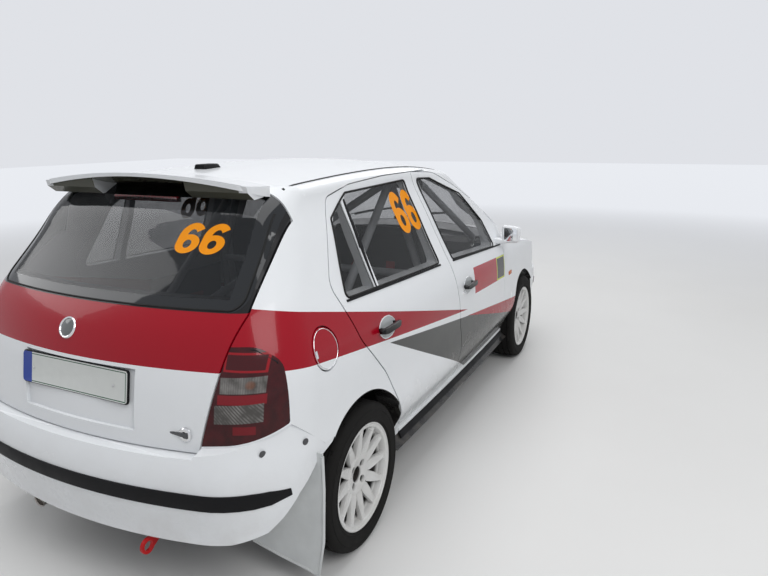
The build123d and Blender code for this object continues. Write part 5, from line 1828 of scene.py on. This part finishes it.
def dash_parts():
    """Instrument hood and dials, switch panel, gear lever, handbrake, pedals and the floor tunnel."""
    hood = block("instrument_hood", (0.215, -0.585, 0.905), (0.505, -0.49, 0.968))
    with Editing(hood) as work:
        work.facing("+y")
        work.scale(0.92, 1, 0.85)
        work.edges(lambda e: max(v.co.z for v in e.verts) > 0.94)
        work.bevel(0.018, 4)
        work.facing("+y")
        work.inset(0.007, depth=-0.03)
    finish(hood, dash_plastic)
    for n, (x, r) in enumerate(DIALS):
        dial = spun(f"dial_{n}", [
            (0, 0.003), (r * 0.16, 0.003), (r * 0.18, 0.001), (r * 0.9, 0.001), (r * 0.92, 0.006), (r, 0.006),
            (r * 1.02, -0.004), (0, -0.004)][::-1], 32, "y", at=(x, DIAL_Y, DIAL_Z))
        finish(dial, dial_face, "body", 35)
    panel = block("switch_panel", (-0.11, -0.562, 0.76), (0.11, -0.52, 0.9))
    with Editing(panel) as work:
        work.facing("+y")
        work.move(0, 0.004, 0)
        work.inset(0.006, depth=-0.002)
    soften(panel, 0.003, 2, 40)
    finish(panel, carbon_dark)
    levers = []
    for n in range(2 * TOGGLE_COLUMNS):
        x = TOGGLE_FIRST[0] + TOGGLE_PITCH[0] * (n % TOGGLE_COLUMNS)
        z = TOGGLE_FIRST[1] + TOGGLE_PITCH[1] * (n // TOGGLE_COLUMNS)
        lever = rod("toggle", (x, -0.52, z), (x, -0.5, z + 0.008), 0.0032, 12)
        ring = torus("ring", (x, -0.519, z), (radians(90), 0, 0), 0.0065, 0.0016, 18, 6)
        levers += [lever, ring]
    finish(joined("toggle_switches", levers), steel_bright)
    finish(swept("gear_lever", GEAR_LINE, 0.008, sides=12), steel_bright)
    knob = spun("gear_knob", [
        (0, 0.03), (0.013, 0.027), (0.021, 0.014), (0.021, 0.0), (0.014, -0.014), (0.009, -0.022),
        (0, -0.022)], 28, "z", at=(0.035, -0.262, 0.61))
    finish(knob, plastic_gloss)
    gaiter = spun("gear_gaiter", [
        (0.012, 0.405), (0.02, 0.385), (0.018, 0.37), (0.034, 0.345), (0.031, 0.328), (0.052, 0.295),
        (0.05, 0.275), (0.07, 0.252)], 28, "z", at=(0.02, -0.29, 0))
    thicken(gaiter, 0.003)
    finish(gaiter, suede_black)
    finish(swept("hand_brake", BRAKE_LINE, 0.01, sides=12), steel_dark)
    grip = spun("hand_brake_grip", [
        (0, 0.075), (0.012, 0.072), (0.0165, 0.06), (0.014, 0.045), (0.0165, 0.03), (0.014, 0.015),
        (0.016, 0), (0, -0.002)], 24, "z")
    put_at(grip, (0.087, -0.19, 0.548), radians(8), "X")
    finish(grip, suede_black)
    for n, (x, width) in enumerate(PEDALS):
        pad = block(f"pedal_{n}", (x - width / 2, -0.655, 0.335), (x + width / 2, -0.64, 0.42))
        with Editing(pad) as work:
            work.facing("+y")
            work.move(0, -0.008, 0.004)
            work.inset(0.004, depth=0.0015)
        soften(pad, 0.002, 2, 40)
        stem = rod("stem", (x, -0.655, 0.4), (x, -0.735, 0.64), 0.007, 12)
        finish(joined(f"pedal_{n}", [pad, stem]), aluminium)
    tunnel = block("tunnel", (-0.105, -0.76, 0.249), (0.135, 0.3, 0.262))
    with Editing(tunnel) as work:
        work.facing("+z")
        work.inset(0.01)
        work.draw_out(0, 0, 0.055)
        work.scale(0.62, 0.97, 1)
    soften(tunnel, 0.01, 3, 30)
    finish(tunnel, inner_paint, "body", 50)


def door_cards():
    """Flat trim panels with a pull strap, inside each door."""
    for end, low, high, y0 in (("front", -0.6, 0.19, -0.3), ("rear", 0.3, 0.86, 0.55)):
        card = block(f"door_card_{end}", (-0.728, low, 0.4), (-0.722, high, 0.86))
        with Editing(card) as work:
            work.points(lambda p: p.co.z > 0.8)
            work.move(0.03, 0, 0)
            work.points(lambda p: p.co.z < 0.5)
            work.move(-0.004, 0, 0)
            work.facing("+x")
            work.inset(0.02, depth=0.003)
            work.inset(0.09, depth=-0.004)
        soften(card, 0.003, 2, 40)
        pair_of(card, carbon_dark, f"{end}_door_right")
        strap = [(y0 - 0.09, 0.7), (y0 - 0.06, 0.706), (y0, 0.712), (y0 + 0.06, 0.706), (y0 + 0.09, 0.7)]
        bow = [-0.706, -0.69, -0.682, -0.69, -0.706]
        pull = ribbon(f"door_pull_{end}", [(b, y, z - 0.014) for (y, z), b in zip(strap, bow)],
                      [(b, y, z + 0.014) for (y, z), b in zip(strap, bow)], 0.004)
        pair_of(pull, strap_red, f"{end}_door_right")


def safety_kit():
    """A fire extinguisher across the floor by a front seat, and padding on the cage by both heads."""
    bottle = spun("extinguisher", [
        (0, 0.3), (0.012, 0.298), (0.014, 0.268), (0.03, 0.262), (0.048, 0.24), (0.052, 0.215), (0.052, 0.02),
        (0.046, 0.004), (0.03, 0), (0, 0)], 36, "z")
    put_at(bottle, BOTTLE_AT, radians(-90), "Y")
    finish(bottle, tow_red)
    bands = []
    for x in BOTTLE_BANDS_X:
        bands.append(torus("band", (x, *BOTTLE_AT[1:]), (0, radians(90), 0), 0.0545, 0.0045, 40, 6))
        bands.append(block("bracket", (x - 0.012, -0.39, 0.25), (x + 0.012, -0.33, 0.268)))
    holder = joined("extinguisher_straps", bands)
    soften(holder, 0.001, 1, 50)
    finish(holder, steel_bright)
    foam = rod("cage_padding", (-0.4705, 0.25, 1.3665), (-0.4575, -0.05, 1.3295), 0.033, 24)
    with Editing(foam) as work:
        for side in (-1, 1):
            work.faces(lambda f: f.normal.y * side > 0.9)
            work.inset(0.006, depth=0.003)
    pair_of(foam, suede_black)


def cage_feet():
    """Bolted plates where the cage meets the floor."""
    feet = []
    for x, y, z in CAGE_FEET:
        plate = block("plate", (x - 0.05, y - 0.05, z), (x + 0.05, y + 0.05, z + 0.005))
        with Editing(plate) as work:
            work.edges_along("z", 0.002)
            work.bevel(0.01, 3)
        feet.append(plate)
        for n in range(4):
            bx, by = x + 0.036 * (1 if n % 2 else -1), y + 0.036 * (1 if n // 2 else -1)
            feet.append(
                bolt_of("bolt", (bx, by, z + 0.004), (bx, by, z + 0.012), 0.006, "+z", 0.0012, 0.0008))
    pair_of(joined("cage_feet", feet), cage_paint)


def cabin():
    seats()
    steering()
    dash_parts()
    door_cards()
    safety_kit()
    cage_feet()


# Underside and engine bay
COIL_STEPS = 16
STRUT_X = -0.549
DAMPER_TOP = Vector((-0.5, 1.385, 0.52))
DAMPER_FOOT = Vector((-0.52, 1.36, 0.25))
PIPE_X, PIPE_Z = 0.18, 0.206
CLAMPS_Y = (-0.62, 0.12, 0.8)
SEAMS_Y = (1.445, 1.685)
TAIL_PIPE_END = (0.33, 1.805, 0.2278)
TAIL_PIPE_WAY = (0, 0.17, -0.018)
RIBS_X = (-0.46, -0.34, -0.02, 0.32, 0.46)
RAILS_X = (-0.6, 0.6)
GUARD_Z = 0.1415
GUARD_BOLTS_X = (-0.28, 0.28)
GUARD_BOLTS_Y = (-1.5, -1.24, -1.0)
# Feet of the roll cage on the floor
CAGE_FEET = [(-0.6, 0.31, 0.25), (-0.64, -0.74, 0.25), (-0.5, 1.18, 0.413)]


def coil(name, foot, height, radius, wire, turns):
    """A coil spring as one tube along a helix, with closed ends."""
    foot = Vector(foot)
    points = []
    for n in range(turns * COIL_STEPS + 1):
        turn = 2 * pi * n / COIL_STEPS
        rise = height * min(1, max(0, (n / COIL_STEPS - 0.5) / (turns - 1)))
        points.append(foot + Vector((radius * cos(turn), radius * sin(turn), rise)))
    return swept(name, points, wire, sides=8)


def springs():
    """Front coil springs and their seats, rear springs and slanted dampers."""
    spring = coil("front_spring", (STRUT_X, AXLE_Y["front"], 0.482), 0.112, 0.057, 0.0065, 5)
    pair_of(spring, spring_red, "knuckle_right", 60)
    seat = spun("front_spring_seat", [
        (0.026, 0.468), (0.06, 0.47), (0.066, 0.478), (0.066, 0.482), (0.058, 0.478), (0.026, 0.476),
        (0.026, 0.468)], 32, "z", at=(STRUT_X, AXLE_Y["front"], 0))
    pair_of(seat, steel_dark, "knuckle_right")
    rear = coil("rear_spring", (-0.44, AXLE_Y["rear"] - 0.06, 0.284), 0.108, 0.056, 0.0065, 5)
    pair_of(rear, spring_red, "body", 60)
    body_tube = rod("rear_damper", DAMPER_FOOT, DAMPER_FOOT.lerp(DAMPER_TOP, 0.55), 0.024, 24)
    with Editing(body_tube) as work:
        work.facing("+z")
        work.inset(0.014)
        work.draw_out(0.008, 0.01, 0.105)
    eye = torus("eye", DAMPER_FOOT, (0, radians(90), 0), 0.02, 0.009, 24, 10)
    pair_of(joined("rear_damper", [body_tube, eye]), steel_dark)


def exhaust_parts():
    """The silencer's rolled seams, its tail pipe's turned lip and the pipe's clamps."""
    seams = []
    for y in SEAMS_Y:
        seam = block("seam", (0.114, y - 0.006, 0.199), (0.426, y + 0.006, 0.331))
        with Editing(seam) as work:
            work.edges_along("y", 0.008)
            work.bevel(0.03, 4)
            work.faces(lambda f: abs(f.normal.y) > 0.9)
            work.inset(0.006, depth=-0.002)
        seams.append(seam)
    finish(joined("silencer_seams", seams), steel_pipe)
    lip = spun("tail_pipe_lip", [
        (0.02, 0.0), (0.0245, 0.0), (0.025, 0.06), (0.027, 0.066), (0.0255, 0.07), (0.0215, 0.066),
        (0.02, 0.0)], 32, "z")
    way = Vector(TAIL_PIPE_WAY).normalized()
    aim(lip, TAIL_PIPE_END, way, "Z", "Y")
    finish(lip, steel_pipe)
    joints = []
    for y in CLAMPS_Y:
        ring = spun("clamp", [(0.0215, -0.02), (0.0255, -0.02), (0.026, 0.02), (0.0215, 0.02),
                              (0.0215, -0.02)], 28, "y", at=(PIPE_X, y, PIPE_Z))
        joints.append(ring)
        joints.append(bolt_of("bolt", (PIPE_X, y, 0.184), (PIPE_X, y, 0.17), 0.0055, "-z", 0.001, 0.001))
    finish(joined("exhaust_clamps", joints), steel_dark)


def floor_ribs():
    """Pressed ribs and two stiffening rails under the floor."""
    ribs = []
    for x in RIBS_X:
        rib = block("rib", (x - 0.022, -0.7, 0.226), (x + 0.022, 0.74, 0.234))
        with Editing(rib) as work:
            work.facing("-z")
            work.scale(0.62, 0.985, 1)
            work.edges(lambda e: max(v.co.z for v in e.verts) < 0.23)
            work.bevel(0.003, 2)
        ribs.append(rib)
    for x in RAILS_X:
        rail = block("rail", (x - 0.035, -0.74, 0.196), (x + 0.035, 0.76, 0.233))
        with Editing(rail) as work:
            work.facing("-z")
            work.scale(0.72, 0.97, 1)
            work.edges(lambda e: max(v.co.z for v in e.verts) < 0.2)
            work.bevel(0.006, 3)
        ribs.append(rail)
    finish(joined("floor_ribs", ribs), under_paint)


def guard_bolts():
    """Countersunk bolts and cross ribs on the sump guard."""
    bolts = []
    for x in GUARD_BOLTS_X:
        for y in GUARD_BOLTS_Y:
            bolt = spun("bolt", [(0, -0.0015), (0.006, -0.0015), (0.0075, -0.005), (0.013, -0.0045),
                                 (0.015, 0), (0, 0)], 20, "z", at=(x, y, GUARD_Z))
            bolts.append(bolt)
    for n in range(5):
        rib = block("rib", (-0.22, -1.46 + 0.1 * n, 0.1385), (0.22, -1.445 + 0.1 * n, 0.1425))
        with Editing(rib) as work:
            work.edges_along("z", 0.002)
            work.bevel(0.006, 3)
            work.facing("-z")
            work.inset(0.002, depth=0.0008)
        bolts.append(rib)
    finish(joined("sump_guard_bolts", bolts), steel_dark)


def engine_parts():
    """Cam cover, inlet tubes, air box, hose, bottles, battery and radiator core round the plain block."""
    cover = block("cam_cover", (-0.19, -1.44, 0.798), (0.17, -1.19, 0.842))
    with Editing(cover) as work:
        work.facing("+z")
        work.scale(0.93, 0.86, 1)
        work.edges(lambda e: max(v.co.z for v in e.verts) > 0.82)
        work.bevel(0.012, 3)
        work.facing("+z", 0.95)
        work.inset(0.03, depth=-0.004)
        work.inset(0.012, depth=0.004)
    finish(cover, cover_red)
    cap = spun("oil_cap", [(0, 0.018), (0.018, 0.018), (0.023, 0.013), (0.024, 0), (0, 0)], 20, "z",
               at=(0.11, -1.315, 0.838))
    finish(cap, plastic_black)
    tubes = []
    for n in range(4):
        x = -0.155 + 0.085 * n
        tubes.append(swept("runner", [
            (x, -1.445, 0.745), (x, -1.505, 0.752), (x, -1.548, 0.735), (x, -1.56, 0.69), (x, -1.545, 0.64)],
            0.02, sides=16))
    plenum = block("plenum", (-0.2, -1.59, 0.585), (0.145, -1.515, 0.655))
    with Editing(plenum) as work:
        work.edges(all_edges)
        work.bevel(0.02, 4)
    finish(joined("inlet_manifold", [*tubes, plenum]), aluminium)
    box_air = block("air_box", (0.27, -1.56, 0.56), (0.46, -1.35, 0.74))
    with Editing(box_air) as work:
        work.facing("+z")
        work.scale(0.92, 0.92, 1)
        work.edges(all_edges)
        work.bevel(0.016, 3)
        work.facing("+z", 0.95)
        work.inset(0.018, depth=0.006)
        work.inset(0.01, depth=-0.005)
    finish(box_air, plastic_black)
    hose = swept(
        "inlet_hose", [(0.3, -1.44, 0.66), (0.22, -1.52, 0.655), (0.14, -1.552, 0.625)], 0.03, sides=16)
    finish(hose, rubber_seal, "body", 60)
    for n, (x, y) in enumerate(((-0.4, -1.32), (-0.4, -1.16))):
        pot = spun(f"fluid_bottle_{n}", [
            (0, 0.15), (0.02, 0.148), (0.022, 0.128), (0.03, 0.12), (0.042, 0.104), (0.043, 0.012),
            (0.038, 0), (0, 0)], 28, "z", at=(x, y, 0.56))
        finish(pot, flap_plastic)
    tray = block("battery", (0.29, -1.22, 0.5), (0.47, -1.04, 0.69))
    with Editing(tray) as work:
        work.facing("+z")
        work.inset(0.01, depth=-0.004)
        work.edges_along("z", 0.1)
        work.bevel(0.006, 2)
    finish(tray, plastic_black)
    for side, x in ((-1, 0.325), (1, 0.435)):
        post = rod("battery_post", (x, -1.13, 0.68), (x, -1.13, 0.706), 0.008, 16)
        pressed(post, "+z", 0.002, 0.002)
        post.name = "battery_post_minus" if side < 0 else "battery_post_plus"
        finish(post, steel_bright)
    core = patch("radiator_core", [(-0.285, 0.3), (0.285, 0.3), (0.285, 0.68), (-0.285, 0.68)], "nose",
                 "radiator", 0.004, 0.05)
    finish(core, radiator_core)


def underside():
    springs()
    exhaust_parts()
    floor_ribs()
    guard_bolts()


FLOOR_SIZE = 60
# Distances from the middle at which the floor begins to glow and is fully pale
GLOW_FROM, GLOW_TO = 4.0, 11.0
WORLD_LIGHT, WORLD_SEEN = 0.3, 0.8
LAMPS = [
    # place, size, watts
    ((-5.0, 4.0, 5.5), 4.0, 230),
    ((5.5, 3.0, 5.0), 4.0, 105),
    ((0.0, -6.0, 5.5), 4.0, 135),
    ((0.0, 0.5, 7.5), 6.0, 215),
]


def studio():
    """A plain pale floor, soft lamps all round and an even pale world."""
    bpy.ops.mesh.primitive_plane_add(size=FLOOR_SIZE)
    floor = bpy.context.object
    floor.name = "floor"
    floor_finish, graph = material("floor_grey", Roughness=0.75, Emission_Strength=1.0)
    x, y, _ = graph.place()
    away = graph.math("SQRT", graph.plus(graph.times(x, x), graph.times(y, y)))
    far = graph.between(away, GLOW_FROM, GLOW_TO)
    near = graph.mix(graph.noise(0.8, 3.0), (0.7, 0.7, 0.69), (0.76, 0.76, 0.75))
    graph.shade("Base Color", graph.mix(far, near, (0, 0, 0)))
    path = graph.add("ShaderNodeLightPath")
    seen = graph.larger(path.outputs["Is Camera Ray"], path.outputs["Is Glossy Ray"])
    glow = graph.times(far, seen)
    graph.shade("Emission Color", graph.mix(glow, (0, 0, 0), (0.74, 0.76, 0.8)))
    floor.data.materials.append(floor_finish)
    for at, size, watts in LAMPS:
        bpy.ops.object.light_add(type="AREA", location=at)
        lamp = bpy.context.object
        lamp.data.size = size
        lamp.data.energy = watts
        lamp.rotation_euler = (Vector((0, 0, 0.5)) - Vector(at)).to_track_quat("-Z", "Y").to_euler()
    world = bpy.data.worlds.new("studio_world")
    bpy.context.scene.world = world
    world.use_nodes = True
    graph = Graph(world.node_tree)
    back = world.node_tree.nodes["Background"]
    path = graph.add("ShaderNodeLightPath")
    graph.feed(back.inputs["Color"], (0.93, 0.95, 1.0))
    seen = graph.larger(path.outputs["Is Camera Ray"], path.outputs["Is Glossy Ray"])
    seen = graph.larger(seen, path.outputs["Is Transmission Ray"])
    graph.feed(back.inputs["Strength"], graph.between(seen, 0, 1, WORLD_LIGHT, WORLD_SEEN))
    bpy.context.scene.view_settings.view_transform = "Standard"


camera()
wheels()
brakes()
tail()
sides()
nose()
cabin()
underside()
engine_parts()
studio()
